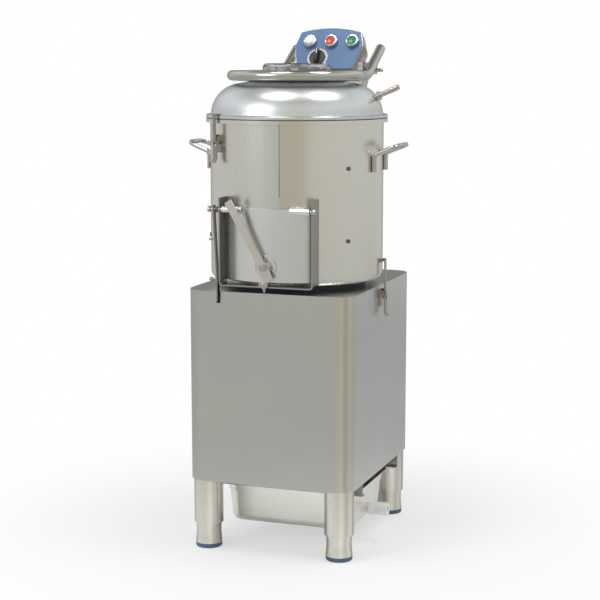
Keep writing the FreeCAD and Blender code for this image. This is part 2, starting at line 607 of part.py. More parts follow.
def side_grip(side):
    near = "%d * sqrt((drum_radius + grip_radius) ^ 2 - grip_half ^ 2)" % side
    far = "%d * (drum_radius + grip_reach)" % side
    low, bend = "drum_bottom + grip_low", "drum_bottom + grip_low + grip_leg"
    top = bend + " + grip_rise"
    points = [(near, "axis_y - grip_half", low), (near, "axis_y - grip_half", bend),
              (far, "axis_y - grip_half + 4", top), (far, "axis_y + grip_half - 4", top),
              (near, "axis_y + grip_half", bend), (near, "axis_y + grip_half", low)]
    return bent_rod("grip", points, ("grip_radius * 2.2", 20, 20, "grip_radius * 2.2"), "grip_radius")


keep("side_handles", group(side_grip(1), side_grip(-1)))

# Door: frame welded to the drum, curved door on its axle, seal, lever, catch, interlock arm


def door_frame():
    depth = "door_frame_front - sqrt(drum_radius ^ 2 - door_frame_half ^ 2) + 25"
    low = "drum_bottom + 1"

    def block(inset, extra):
        body = box("-door_frame_half + " + inset, "frame_front - " + extra, low + " + " + inset,
                   "2 * (door_frame_half - %s)" % inset, depth + " + 2 * " + extra,
                   "door_frame_height + 20 * " + extra)
        corners = rounded(body, "door_frame_corner - " + inset, lower_corner)
        return corners

    def lower_corner(edge):
        first, last = edge.Vertexes[0].Point, edge.Vertexes[-1].Point
        middle = value("drum_bottom + door_frame_height / 2")
        return abs(first.x - last.x) + abs(first.z - last.z) < 0.001 and first.z < middle

    band = cut(block("0", "0"), block("door_frame_wall", "1"))
    axle_hole = rod("-door_frame_half - 5", "axle_y", "axle_z", "axle_radius + axle_fit",
                    "2 * door_frame_half + 10", "x")
    drum_space = rod(0, "axis_y", "drum_bottom - 5", "drum_radius", "door_frame_height + 40")
    return cut(band, axle_hole, drum_space)


keep("door_frame", door_frame())


def curved_plate(inner, outer, half, low, high):
    """A stretch of upright cylinder wall in front of the drum."""
    wall = turned(ring_points(inner, outer, low, high), 0, "axis_y")
    front = box("-(" + half + ")", "axis_y - drum_radius - 40", low, "2 * (" + half + ")",
                "drum_radius * 0.6 + 40", "(" + high + ") - (" + low + ")")
    return common(wall, front)


def door_plate():
    plate = curved_plate("door_back", "door_face", "door_half", "door_bottom", "door_top")
    knuckle_width = "knuckle_outer - knuckle_inner"
    knuckles = [rod(x, "axle_y", "axle_z", "knuckle_radius", knuckle_width, "x")
                for x in ("knuckle_inner", "-knuckle_outer")]
    web_width = "door_half - knuckle_inner"
    webs = [box(x, "axle_y", "axle_z - knuckle_radius", web_width, 20, "knuckle_radius - 2")
            for x in ("knuckle_inner", "-door_half")]
    behind = rod(0, "axis_y", "door_bottom", "door_back", "door_frame_height")
    boss_depth = "boss_rise + 6"
    boss = rod(0, "axis_y - door_face - boss_rise", "boss_z", "boss_radius", boss_depth, "y")
    dish = rod(0, "axis_y - door_face - boss_rise - 1", "boss_z", "boss_radius - 3", "boss_rise - 1", "y")
    hub = rod(0, "axis_y - lever_back", "boss_z", "bolt_radius + 5", "boss_rise + boss_hub", "y")
    spokes = []
    for turn in (30, 150, 270):
        spoke = box(0, "axis_y - door_face - boss_rise", "boss_z", "boss_radius - 2", "boss_rise", 3)
        spoke.Placement.Rotation = FreeCAD.Rotation(vec(0, 1, 0), turn)
        spokes.append(spoke)
    bores = [rod(x, "axle_y", "axle_z", "axle_radius", knuckle_width + " + 2", "x")
             for x in ("knuckle_inner - 1", "-knuckle_outer - 1")]
    webs_cut = cut(fuse(*webs), behind)
    dished = cut(boss, dish)
    bolt_hole = rod(0, "axis_y - lever_back - 1", "boss_z", "bolt_radius", "boss_rise + boss_hub - 1", "y")
    inner = rod(0, "axis_y", "door_bottom", "door_back + 0.5", "door_frame_height")
    front = cut(fuse(dished, hub, *spokes), inner)
    return cut(fuse(plate, webs_cut, front, *knuckles), bolt_hole, *bores)


keep("door_plate", door_plate())
seal_block = curved_plate("drum_radius + door_gap", "door_back", "door_half - 1", "door_bottom + 1", "seal_top")
seal_window = box("-opening_half - 0.5", "axis_y - drum_radius - 10", "door_bottom + opening_margin - 0.5",
                  "2 * opening_half + 1", 60, "seal_top - door_bottom - 2 * opening_margin + 2")
keep("door_seal", cut(seal_block, seal_window))
left_pin = fuse(
    rod("-pin_reach", "axle_y", "axle_z", "axle_radius", "pin_reach - knuckle_inner", "x"),
    rod("-pin_reach", "axle_y", "axle_z", "axle_radius + 2.5", 5, "x"))
right_pin = fuse(
    rod("knuckle_inner", "axle_y", "axle_z", "axle_radius", "door_frame_half + 1 - knuckle_inner", "x"),
    rod("door_frame_half + 0.3", "axle_y", "axle_z", "axle_radius + 2.5", 5, "x"))
keep("door_axle", group(left_pin, right_pin))


def axle_spring():
    """The return spring on the axle, between the frame and the interlock arm."""
    length = value("arm_side - arm_wall / 2 - door_frame_half - 2 * spring_wire - 1.2")
    radius = value("spring_radius")
    path = Part.makeHelix(value("spring_pitch"), length, radius)
    wire = Part.Wire(Part.makeCircle(value("spring_wire"), vec(radius, 0, 0), vec(0, 1, 0)))
    coil = Part.Wire(path).makePipeShell([wire], True, True)
    coil.Placement = FreeCAD.Placement(
        vec(-value("arm_side - arm_wall / 2 - spring_wire - 0.9"), value("axle_y"), value("axle_z")), turns["x"])
    obj = doc.addObject("Part::Feature", "spring")
    obj.Shape = coil
    return obj


keep("axle_spring", axle_spring())
arm_low = "cabinet_top - blade_depth"
arm_outline = [
    ("-arm_side - arm_wall / 2", "axle_z + 9"), ("-arm_foot_side - arm_wall / 2", "drum_bottom + 12"),
    ("-arm_foot_side - arm_wall / 2", arm_low), ("-arm_foot_side + arm_wall / 2", arm_low),
    ("-arm_foot_side + arm_wall / 2", "drum_bottom + 12"), ("-arm_side + arm_wall / 2", "axle_z + 9"),
]
arm = slab(arm_outline, "arm_depth", "XZ_Plane", 0, "axle_y + arm_depth / 2")
arm_bore = rod("-pin_reach", "axle_y", "axle_z", "axle_radius", 30, "x")
arm_studs = [
    rod("-arm_side - 11", "axle_y", "drum_bottom + 100", 2.5, 14, "x"),
    rod("-arm_foot_side - 16", "axle_y", "drum_bottom + 15", 2.5, 16, "x"),
    rod("-arm_foot_side - 18", "axle_y", "drum_bottom + 15", 3.8, 6, "x"),
]
keep("interlock_arm", cut(fuse(arm, *arm_studs), arm_bore))
keep("interlock_switch", fuse(
    box("-arm_foot_side - 16", "axle_y + arm_depth / 2 + 5", "plate_bottom - 24", 32, 12, 24),
    rod("-arm_foot_side", "axle_y + arm_depth / 2 + 0.1", "plate_bottom - 9", 2.5, 5, "y")))


def lever():
    lean = FreeCAD.Rotation(vec(0, 1, 0), -driving["lever_lean"])
    lean_tail = FreeCAD.Rotation(vec(0, 1, 0), -driving["tail_lean"])
    half = "lever_width / 2"
    bar = slab([("-" + half, 0), (half, 0), (half, "lever_length"), ("-" + half, "lever_length")],
               "lever_wall", "XZ_Plane", 0, "axis_y - lever_back - lever_gap", "boss_z", lean)
    tail_half = "tail_width / 2"
    tail = slab([("-" + tail_half, "-tail_length"), (tail_half, "-tail_length"), (tail_half, 6),
                 ("-" + tail_half, 6)],
                "lever_wall", "XZ_Plane", 0, "axis_y - lever_back - lever_gap", "boss_z", lean_tail)
    hub = rod(0, "axis_y - lever_front - lever_gap", "boss_z", "bolt_radius + 6", "lever_wall", "y")
    bore = rod(0, "axis_y - lever_front - 2", "boss_z", "bolt_radius + axle_fit", "lever_wall + 6", "y")
    return cut(fuse(bar, tail, hub), bore)


keep("door_lever", lever())
keep("lever_bolt", fuse(
    rod(0, "axis_y - lever_front - lever_gap - bolt_gap", "boss_z", "bolt_radius", "lever_wall + 12", "y"),
    rod(0, "axis_y - front_reach", "boss_z", "bolt_head", "bolt_head_height", "y")))
catch_block = box("-catch_half", "frame_front - catch_reach", "drum_bottom + 1 + door_frame_wall",
                  "2 * catch_half", "catch_reach + 3", "catch_height")
catch_screw = rod(0, "frame_front - catch_reach / 2", "drum_bottom - 8", 1, 4, "z", 3)
catch_stem = rod(0, "frame_front - catch_reach / 2", "drum_bottom - 4", 3, 9)
catch_nut = rod(0, "frame_front - catch_reach / 2", "drum_bottom", 5, 4)
keep("door_catch", fuse(catch_block, catch_screw, catch_stem, catch_nut))

# Cover, water nozzle, clear lid in its tube ring, hinge axle

shoulder_z = "cover_top - shoulder_drop + 2"
cover_outline = [
    ("cover_radius - cover_wall", "cover_bottom"), ("rim_radius", "cover_bottom"),
    ("rim_radius", "cover_bottom + 5"), ("rim_radius - 2", "cover_bottom + 7"),
    ("cover_radius + 1", "cover_bottom + 8"), ("cover_radius", "cover_bottom + 12", "cover_height * 0.9"),
    ("shoulder_radius", shoulder_z), ("mouth_radius + lip_width + 4", "cover_top + 1"),
    ("mouth_radius + lip_width", "mouth_top"), ("mouth_radius", "mouth_top"),
    ("mouth_radius", "cover_top - cover_wall + 1"), ("shoulder_radius - 1", shoulder_z + " - cover_wall"),
    ("cover_radius - cover_wall - 12", "cover_bottom + cover_height * 0.55"),
    ("cover_radius - cover_wall", "cover_bottom + cover_height * 0.18"),
]
nozzle_z = "cover_bottom + nozzle_level"
nozzle_start = "cover_radius - 12"


def nozzle_rod(start, radius, length, thin=None):
    """A round length along the slanted nozzle axis, from a distance along it."""
    obj = rod(0, 0, 0, radius, length, "z", thin)
    spin = FreeCAD.Rotation(vec(0, 0, 1), driving["nozzle_angle"])
    tilt = FreeCAD.Rotation(vec(0, 1, 0), 90 - driving["nozzle_tilt"])
    obj.Placement.Rotation = spin * tilt
    out = "(%s + (%s) * cos(nozzle_tilt))" % (nozzle_start, start)
    return place(obj, out + " * cos(nozzle_angle)", "axis_y + " + out + " * sin(nozzle_angle)",
                 nozzle_z + " + (" + str(start) + ") * sin(nozzle_tilt)")


keep("cover_dome", cut(turned(cover_outline, 0, "axis_y"), nozzle_rod(-20, "nozzle_radius", 60)))
keep("water_nozzle", cut(fuse(
    nozzle_rod(-8, "nozzle_radius", "nozzle_length + 12"), nozzle_rod(4, "nozzle_radius + 4", 6),
    nozzle_rod("nozzle_length - 14", "nozzle_radius + 0.8", 5, "nozzle_radius"),
    nozzle_rod("nozzle_length - 6", "nozzle_radius + 0.8", 5, "nozzle_radius")),
    nozzle_rod(-10, "nozzle_bore", "nozzle_length + 20")))


def ring_tube():
    radius = value("ring_radius")
    half = value("ring_leg_half")
    bend = value("ring_corner")
    centre = vec(0, value("axis_y"), value("ring_z"))
    # The corner arc touches the big circle from outside and the straight leg from inside
    corner_x = half + bend
    corner_y = math.sqrt((radius + bend) ** 2 - corner_x ** 2)
    turn = math.atan2(corner_y, corner_x)

    def spot(x, y, z=0):
        return centre + vec(x, y, z)

    def corner(side):
        touch = spot(side * radius * math.cos(turn), radius * math.sin(turn))
        leg = spot(side * half, corner_y)
        middle_turn = (math.pi + turn) / 2 + math.pi / 2
        middle = spot(side * (corner_x + bend * math.cos(middle_turn)), corner_y + bend * math.sin(middle_turn))
        return touch, middle, leg

    right, left = corner(1), corner(-1)
    slope = math.radians(value("ring_bend"))
    bend_y = value("ring_bend_y")
    rise_radius = 45.0
    reach = rise_radius * math.tan(slope / 2)

    def leg(side):
        low = spot(side * half, bend_y - reach)
        high = spot(side * half, bend_y + reach * math.cos(slope), reach * math.sin(slope))
        middle = spot(side * half, bend_y - reach + rise_radius * math.sin(slope / 2),
                      rise_radius * (1 - math.cos(slope / 2)))
        run = value("ring_end_y") - bend_y
        end = spot(side * half, value("ring_end_y"), run * math.tan(slope))
        return low, middle, high, end

    low_r, middle_r, high_r, end_r = leg(1)
    low_l, middle_l, high_l, end_l = leg(-1)
    edges = [
        Part.LineSegment(end_r, high_r).toShape(),
        Part.Arc(high_r, middle_r, low_r).toShape(),
        Part.LineSegment(low_r, right[2]).toShape(),
        Part.Arc(right[2], right[1], right[0]).toShape(),
        Part.Arc(right[0], spot(0, -radius), left[0]).toShape(),
        Part.Arc(left[0], left[1], left[2]).toShape(),
        Part.LineSegment(left[2], low_l).toShape(),
        Part.Arc(low_l, middle_l, high_l).toShape(),
        Part.LineSegment(high_l, end_l).toShape(),
    ]
    return pipe_along("ring", edges, "ring_tube_radius", "ring_tube_wall")


def ring_with_brackets():
    top = "ring_z + (hinge_y - ring_bend_y) * tan(ring_bend) - ring_tube_radius * 0.9"
    plates = []
    for x in ("ring_leg_half - bracket_wall / 2", "-ring_leg_half - bracket_wall / 2"):
        plates.append(box(x, "axis_y + hinge_y - 13", "hinge_z - 9", "bracket_wall", 26, top + " - hinge_z + 9"))
    hole = rod("-hinge_reach", "axis_y + hinge_y", "hinge_z", "hinge_radius", "2 * hinge_reach", "x")
    return cut(fuse(ring_tube(), *plates), hole)


keep("ring_tube", ring_with_brackets())
keep("hinge_axle", rod("-hinge_reach", "axis_y + hinge_y", "hinge_z", "hinge_radius", "2 * hinge_reach", "x"))
lid_edge = "ring_radius - sqrt(ring_tube_radius ^ 2 - (ring_z - lid_z - lid_wall) ^ 2) - 0.1"
lid_outline = [
    (0, "lid_z + lid_rise"), ("lid_radius - lid_corner", "lid_z + lid_rise"),
    ("lid_radius - 2", "lid_z + lid_rise - 3"), ("lid_radius", "lid_z + lid_rise - lid_corner"),
    ("lid_radius + 1", "lid_z + lid_wall"), (lid_edge, "lid_z + lid_wall"), (lid_edge, "lid_z"),
    ("lid_radius - lid_wall + 1", "lid_z"), ("lid_radius - lid_wall", "lid_z + lid_rise - lid_corner"),
    ("lid_radius - lid_corner - 1", "lid_z + lid_rise - lid_wall"), (0, "lid_z + lid_rise - lid_wall"),
]
keep("clear_lid", turned(lid_outline, 0, "axis_y"))
keep("lid_seal", turned(ring_points("mouth_radius - 3", "mouth_radius + lip_width + 3", "mouth_top + 0.3",
                                    "lid_z"), 0, "axis_y"))

# Control column with the tilted head, its blue plate, buttons, lamp and timer

tilt = FreeCAD.Rotation(vec(1, 0, 0), -driving["head_tilt"])
face_y = "axis_y + head_y"
face_z = "cover_bottom + head_level"


def facing(obj, across, up, out=0):
    """Set an object on the tilted face: its own -Y looks out of the plate."""
    obj.Placement.Rotation = tilt * obj.Placement.Rotation
    lift = "(" + str(up) + ")"
    step = "(" + str(out) + ")"
    return place(obj, across,
                 face_y + " + " + lift + " * sin(head_tilt) - " + step + " * cos(head_tilt)",
                 face_z + " + " + lift + " * cos(head_tilt) + " + step + " * sin(head_tilt)")


def face_rod(across, up, out, radius, length, thin=None):
    """A round piece on the plate, from a height above it back towards it."""
    return facing(rod(0, 0, 0, radius, length, "y", thin), across, up, out)


def face_outline(inset):
    return [
        ("-head_top_half + " + inset, "head_up - " + inset), ("-head_half + " + inset, 0),
        ("-head_foot_half + " + inset, "-head_down + " + inset),
        ("head_foot_half - " + inset, "-head_down + " + inset), ("head_half - " + inset, 0),
        ("head_top_half - " + inset, "head_up - " + inset, "head_top_half * 3.4"),
    ]


def face_slab(inset, out, depth):
    return facing(slab(face_outline(inset), depth, "XZ_Plane"), 0, 0, "%s - (%s)" % (out, depth))


def column_outline(inset):
    half, top = "column_half - " + inset, "column_top_half - " + inset
    return [
        ("-(" + half + ")", "cabinet_top"), (half, "cabinet_top"), (half, "cabinet_top + column_taper_low"),
        (top, "hinge_z - 8"), (top, "hinge_z + 18 - " + inset), ("-(" + top + ")", "hinge_z + 18 - " + inset),
        ("-(" + top + ")", "hinge_z - 8"), ("-(" + half + ")", "cabinet_top + column_taper_low"),
    ]


def column_block(inset):
    return slab(column_outline(inset), "column_depth - 2 * " + inset, "XZ_Plane", 0,
                "axis_y + column_front + column_depth - " + inset)


def control_column():
    head_stop = box("-head_half - 5", "axis_y + column_front + column_depth", "cabinet_top", "2 * head_half + 10",
                    60, "column_taper_low + 300")
    head = cut(face_slab("0", 0, "head_depth"), head_stop)
    inner_stop = box("-head_half - 5", "axis_y + column_front + column_depth - sheet_wall", "cabinet_top",
                     "2 * head_half + 10", 60, "column_taper_low + 300")
    head_space = cut(face_slab("sheet_wall", "-sheet_wall", "head_depth - 2 * sheet_wall"), inner_stop)
    column_space = column_block("sheet_wall")
    foot_open = box("-column_half + 10", "axis_y + column_front + 12", "cabinet_top - 5", "2 * column_half - 20",
                    "column_depth - 24", 10)
    holes = [face_rod(across, up, 5, radius, 20) for across, up, radius in (
        ("button_shift - button_pitch", "button_row", "button_radius"),
        ("button_shift", "button_row", "button_radius"),
        ("button_shift + button_pitch", "button_row", "button_radius"),
        ("dial_shift", "dial_row", "stem_radius + 1"))]
    axle_hole = rod("-column_top_half - 5", "axis_y + hinge_y", "hinge_z", "hinge_radius + axle_fit",
                    "2 * column_top_half + 10", "x")
    return cut(fuse(head, column_block("0")), fuse(head_space, column_space), foot_open, axle_hole, *holes)


keep("control_column", control_column())
plate_holes = [face_rod(across, up, 5, radius, 20) for across, up, radius in (
    ("button_shift - button_pitch", "button_row", "button_radius"),
    ("button_shift", "button_row", "button_radius"),
    ("button_shift + button_pitch", "button_row", "button_radius"),
    ("dial_shift", "dial_row", "stem_radius + 1"))]
keep("control_plate", cut(face_slab("1", "plate_front_wall", "plate_front_wall"), *plate_holes))
plate_out = "plate_front_wall"


def button_bezel(across):
    ring = cut(face_rod(across, "button_row", plate_out + " + bezel_height", "bezel_radius", "bezel_height"),
               face_rod(across, "button_row", plate_out + " + bezel_height + 1", "button_radius",
                        "bezel_height + 1 - bezel_floor"))
    sleeve = face_rod(across, "button_row", plate_out, "button_radius - button_fit", 14)
    hollow = face_rod(across, "button_row", plate_out + " + 1", "stem_radius + button_fit", 20)
    return cut(fuse(ring, sleeve), hollow)


across_list = ("button_shift - button_pitch", "button_shift", "button_shift + button_pitch")
keep("button_bezels", group(*[button_bezel(across) for across in across_list]))
keep("lamp_lens", fuse(
    face_rod(across_list[0], "button_row", plate_out + " + bezel_height + 1", "button_radius - button_fit",
             "bezel_height + 1 - bezel_floor"),
    face_rod(across_list[0], "button_row", plate_out + " + bezel_height + 3.5", "button_radius - 3", 3.6)))


def push_button(across):
    cap_out = plate_out + " + bezel_height - 0.5"
    cap = face_rod(across, "button_row", cap_out, "button_radius - button_fit",
                   "bezel_height - button_travel - 1.5")
    stem = face_rod(across, "button_row", cap_out, "stem_radius", "bezel_height + 14")
    return fuse(cap, stem)


keep("stop_button", push_button(across_list[1]))
keep("start_button", push_button(across_list[2]))
keep("timer_dial", cut(face_rod("dial_shift", "dial_row", plate_out + " + dial_height", "dial_radius", "dial_height"),
                       face_rod("dial_shift", "dial_row", plate_out + " + dial_height + 1", "stem_radius + 1", 9)))
knob_out = plate_out + " + dial_height + 0.4"


def timer_knob():
    skirt = face_rod("dial_shift", "dial_row", knob_out + " + knob_skirt", "knob_radius", "knob_skirt")
    bar = slab([("-knob_bar / 2", "-knob_radius + 3"), ("knob_bar / 2", "-knob_radius + 3"),
                ("knob_bar / 2", "knob_radius - 1"), ("-knob_bar / 2", "knob_radius - 1")],
               "knob_height - 1", "XZ_Plane")
    bar = facing(bar, "dial_shift", "dial_row", knob_out + " + 1")
    stem = face_rod("dial_shift", "dial_row", knob_out + " + 1", "stem_radius", 22)
    return fuse(skirt, bar, stem)


keep("timer_knob", timer_knob())

# Waste tray on its rails, drain stub and plastic fitting


def tray_wire(inset, z):
    """A rounded rectangle of the tray at one level, drawn in from the rim."""
    half_x = value("tray_width / 2 - (%s)" % inset)
    half_y = value("tray_depth / 2 - (%s)" % inset)
    radius = value("tray_corner - (%s)" % inset)
    level = value(z)
    centre = vec(value("tray_shift"), value("cabinet_y"), level)
    edges = []
    for turn, sx, sy in ((0, 1, 1), (90, -1, 1), (180, -1, -1), (270, 1, -1)):
        hub = centre + vec(sx * (half_x - radius), sy * (half_y - radius), 0)
        points = [hub + vec(radius * math.cos(math.radians(turn + part)),
                            radius * math.sin(math.radians(turn + part)), 0) for part in (0, 45, 90)]
        edges.append(Part.Arc(*points).toShape())
    corners = [edge.Vertexes for edge in edges]
    ordered = []
    for i in range(4):
        ordered.append(edges[i])
        ordered.append(Part.LineSegment(corners[i][-1].Point, corners[(i + 1) % 4][0].Point).toShape())
    return Part.Wire(ordered)


def tray_cup(extra):
    """The tray's outer or inner form, without its rim."""
    low = "tray_bottom + (%s)" % extra
    step = "tray_top - tray_shoulder"
    side = "tray_rim + (%s)" % extra
    lower = Part.makeLoft([tray_wire(side + " + tray_step + tray_taper", low),
                           tray_wire(side + " + tray_step", step)], True)
    level = value(low)
    edges = [edge for edge in lower.Edges
             if all(abs(point.Z - level) < 0.01 for point in edge.Vertexes)]
    lower = lower.makeFillet(value("tray_edge - (%s)" % extra), edges)
    bend = Part.makeLoft([tray_wire(side + " + tray_step", step), tray_wire(side, step + " + 4")], True)
    upper = Part.makeLoft([tray_wire(side, step + " + 4"), tray_wire(side, "tray_top")], True)
    return lower.fuse(bend).fuse(upper)


def waste_tray():
    flange = Part.Face(tray_wire("0", "tray_top - tray_wall - 0.6")).extrude(vec(0, 0, value("tray_wall") + 0.6))
    stub_x = value("tray_shift + tray_width / 2 - tray_rim - tray_step - tray_taper / 2")
    stub_y = value("cabinet_y - cabinet_shift - stub_shift")
    base = vec(stub_x - 4, stub_y, value("stub_z"))
    length = value("stub_length")
    stub = Part.makeCylinder(value("stub_radius"), length + 4, base, vec(1, 0, 0))
    bore = Part.makeCylinder(value("stub_radius - stub_wall"), length + 20, base - vec(10, 0, 0), vec(1, 0, 0))
    shape = tray_cup("0").fuse(flange).fuse(stub).cut(tray_cup("tray_wall")).cut(bore)
    obj = doc.addObject("Part::Feature", "tray")
    obj.Shape = shape.removeSplitter()
    return obj


keep("waste_tray", waste_tray())
fitting_x = "tray_shift + tray_width / 2 - tray_rim - tray_step - tray_taper / 2 + stub_length"
fitting_y = "axis_y - stub_shift"
hexagon = [("fitting_radius * cos(%d)" % turn, "fitting_radius * sin(%d)" % turn) for turn in range(0, 360, 60)]
nut = slab(hexagon, 14, "YZ_Plane", fitting_x, fitting_y, "stub_z")
keep("drain_fitting", cut(fuse(
    nut, rod(fitting_x + " - 10", fitting_y, "stub_z", "stub_radius - stub_wall", 12, "x"),
    rod(fitting_x + " + 12", fitting_y, "stub_z", "fitting_radius - 3", 10, "x"),
    rod(fitting_x + " + 20", fitting_y, "stub_z", "fitting_radius - 0.6", "fitting_length - 20", "x")),
    rod(fitting_x + " - 12", fitting_y, "stub_z", "stub_radius - stub_wall - 2", "fitting_length + 20", "x")))

# Toggle latches: two hold the cover on the drum, two hold the drum on the cabinet

pivot_out = 9
pin_drop = 9


def swung(obj, turn, x, y, z):
    """Stand a piece up with its own +X outward, turned about the vertical."""
    obj.Placement.Rotation = FreeCAD.Rotation(vec(0, 0, 1), turn) * obj.Placement.Rotation
    return place(obj, x, y, z)


def outline_slab(points, half):
    """An outline of outward distance and height, centred across its width."""
    body = slab(points, "2 * (" + half + ")", "XZ_Plane")
    body.Tip.Midplane = True
    return body


def cross_rod(x, z, radius, half):
    return rod(x, "-(" + half + ")", z, radius, "2 * (" + half + ")", "y")


def latch_base():
    half = "latch_width / 2"
    ears = [(-0.6, 8), (2, 8), (pivot_out + 3, 3), (pivot_out + 3, -4), (2, -6), (2, -30), (-0.6, -30)]
    gap = [(2, 12), (30, 12), (30, -34), (2, -34)]
    return fuse(cut(outline_slab(ears, half), outline_slab(gap, half + " - latch_wall")),
                cross_rod(pivot_out, 0, 1.6, half))


def latch_lever():
    half = "latch_width / 2 - latch_wall - latch_fit"
    points = [(pivot_out - 3, 3), (pivot_out + 3, 3), (pivot_out + 4, -pin_drop), (pivot_out + 4, "-latch_lever"),
              (pivot_out + 9, "-latch_lever - 9"), (pivot_out + 7, "-latch_lever - 10"),
              (pivot_out + 2, "-latch_lever"), (pivot_out + 2, -pin_drop - 4), (pivot_out - 3, -pin_drop - 4)]
    room = [(-4, 12), (40, 12), (40, -pin_drop - 7), (-4, -pin_drop - 7)]
    cheeks = cut(outline_slab(points, half), outline_slab(room, half + " - 2.7"),
                 cross_rod(pivot_out, 0, 1.7, "latch_width"))
    return fuse(cheeks, cross_rod(pivot_out, -pin_drop, 1.5, half + " - 1"))


def latch_pull(points):
    half = "latch_width / 2 - latch_wall - 2.7 - 2 * latch_fit"
    return cut(outline_slab(points, half), cross_rod(pivot_out, -pin_drop, 1.6, "latch_width"))


low_end = [(pivot_out + 2, -3), (pivot_out - 3, -pin_drop + 3), (pivot_out - 3, -pin_drop - 3),
           (pivot_out + 2, -pin_drop - 3), (pivot_out + 4.6, -4), (pivot_out + 4.6, 4)]
reach = "cover_latch_drop + cover_bottom - rim_top"
cover_pull = low_end + [
    (pivot_out + 6, 12), (pivot_out + 6, reach + " + 9.5"), (pivot_out + 3, reach + " + 10.5"),
    (1, reach + " + 10"), (1, reach + " + 7.9"), (pivot_out + 2, reach + " + 7.9"),
    (pivot_out + 4, reach + " + 7"), (pivot_out + 4, 13), (pivot_out + 2, 4)]
drum_pull = low_end + [
    (pivot_out + 3.2, 9), (pivot_out + 3, "hook_rise + 3"), (2.5, "hook_rise + 3"), (2.5, "hook_rise + 0.6"),
    (pivot_out + 1, "hook_rise + 0.6"), (pivot_out + 1, 9), (pivot_out + 2, 4)]

latches = [
    ("cover_latch_left", driving["cover_latch_angle"], cover_pull),
    ("cover_latch_right", driving["cover_latch_angle"] + 180, cover_pull),
    ("drum_latch_right", 0, drum_pull),
    ("drum_latch_left", 180, drum_pull),
]
drum_skin = rod(0, "axis_y", "drum_bottom", "drum_radius", "drum_height")
cabinet_skin = box("-cabinet_width / 2", "cabinet_front", "leg_height", "cabinet_width", "cabinet_depth",
                   "cabinet_height")
bases, hooks = [], []
for name, turn, pull in latches:
    if pull is cover_pull:
        x, y = "drum_radius * cos(%g)" % turn, "axis_y + drum_radius * sin(%g)" % turn
        z, skin = "rim_top - cover_latch_drop", drum_skin
    else:
        side = "" if turn == 0 else "-"
        x, y, z = side + "cabinet_width / 2", "axis_y + drum_latch_y", "cabinet_top - drum_latch_drop"
        skin = cabinet_skin
        hook = outline_slab([(-6, "hook_rise - 9"), (pivot_out - 0.6, "hook_rise - 3"),
                             (pivot_out - 0.6, "hook_rise + 0.3"), (-6, "hook_rise + 0.3")],
                            "latch_width / 2 - 1")
        hooks.append(cut(swung(hook, turn, x, y, z), drum_skin))
    bases.append(cut(swung(latch_base(), turn, x, y, z), skin))
    keep(name + "_lever", swung(latch_lever(), turn, x, y, z))
    keep(name + "_strap", swung(latch_pull(pull), turn, x, y, z))
keep("latch_brackets", group(*(bases + hooks)))

# Test every shape, then write each sub-part

doc.recompute()
for obj in doc.Objects:
    if "Invalid" in obj.State or "Error" in obj.State:
        raise SystemExit("%s (%s) did not build: %s" % (obj.Label, obj.Name, obj.State))
os.makedirs("parts", exist_ok=True)
for name, obj in nodes.items():
    shape = obj.Shape
    if shape.isNull() or not shape.isValid() or shape.Volume <= 0 or not shape.Solids:
        raise SystemExit("%s has no valid solid" % name)
    shape.exportStep(os.path.join("parts", name + ".step"))
print("%d sub-parts written" % len(nodes))
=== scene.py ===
import json
import math
import bpy
from mathutils import Matrix, Vector


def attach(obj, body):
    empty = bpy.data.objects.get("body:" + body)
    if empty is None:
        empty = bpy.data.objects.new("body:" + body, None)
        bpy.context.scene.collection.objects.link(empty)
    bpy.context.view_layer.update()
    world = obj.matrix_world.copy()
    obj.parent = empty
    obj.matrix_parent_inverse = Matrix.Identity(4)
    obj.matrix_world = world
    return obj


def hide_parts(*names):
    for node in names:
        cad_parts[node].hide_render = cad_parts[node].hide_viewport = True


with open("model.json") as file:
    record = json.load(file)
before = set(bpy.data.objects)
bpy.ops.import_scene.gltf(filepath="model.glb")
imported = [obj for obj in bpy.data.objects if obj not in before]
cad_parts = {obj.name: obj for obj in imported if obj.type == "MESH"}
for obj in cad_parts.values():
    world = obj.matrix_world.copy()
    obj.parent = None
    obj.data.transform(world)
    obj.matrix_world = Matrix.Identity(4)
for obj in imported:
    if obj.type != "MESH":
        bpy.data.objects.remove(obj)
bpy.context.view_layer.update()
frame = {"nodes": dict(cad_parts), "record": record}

bodies = frame["record"]["behaviour"]["bodies"]
bodyOf = {node: body for body, names in bodies.items() for node in names}
slotOf = {part["node"]: part["material_slot"] for part in frame["record"]["subparts"]}
axisY = -0.038833  # the drum's own axis


# Studio: pale floor, white surroundings, soft lamps, the photograph's camera

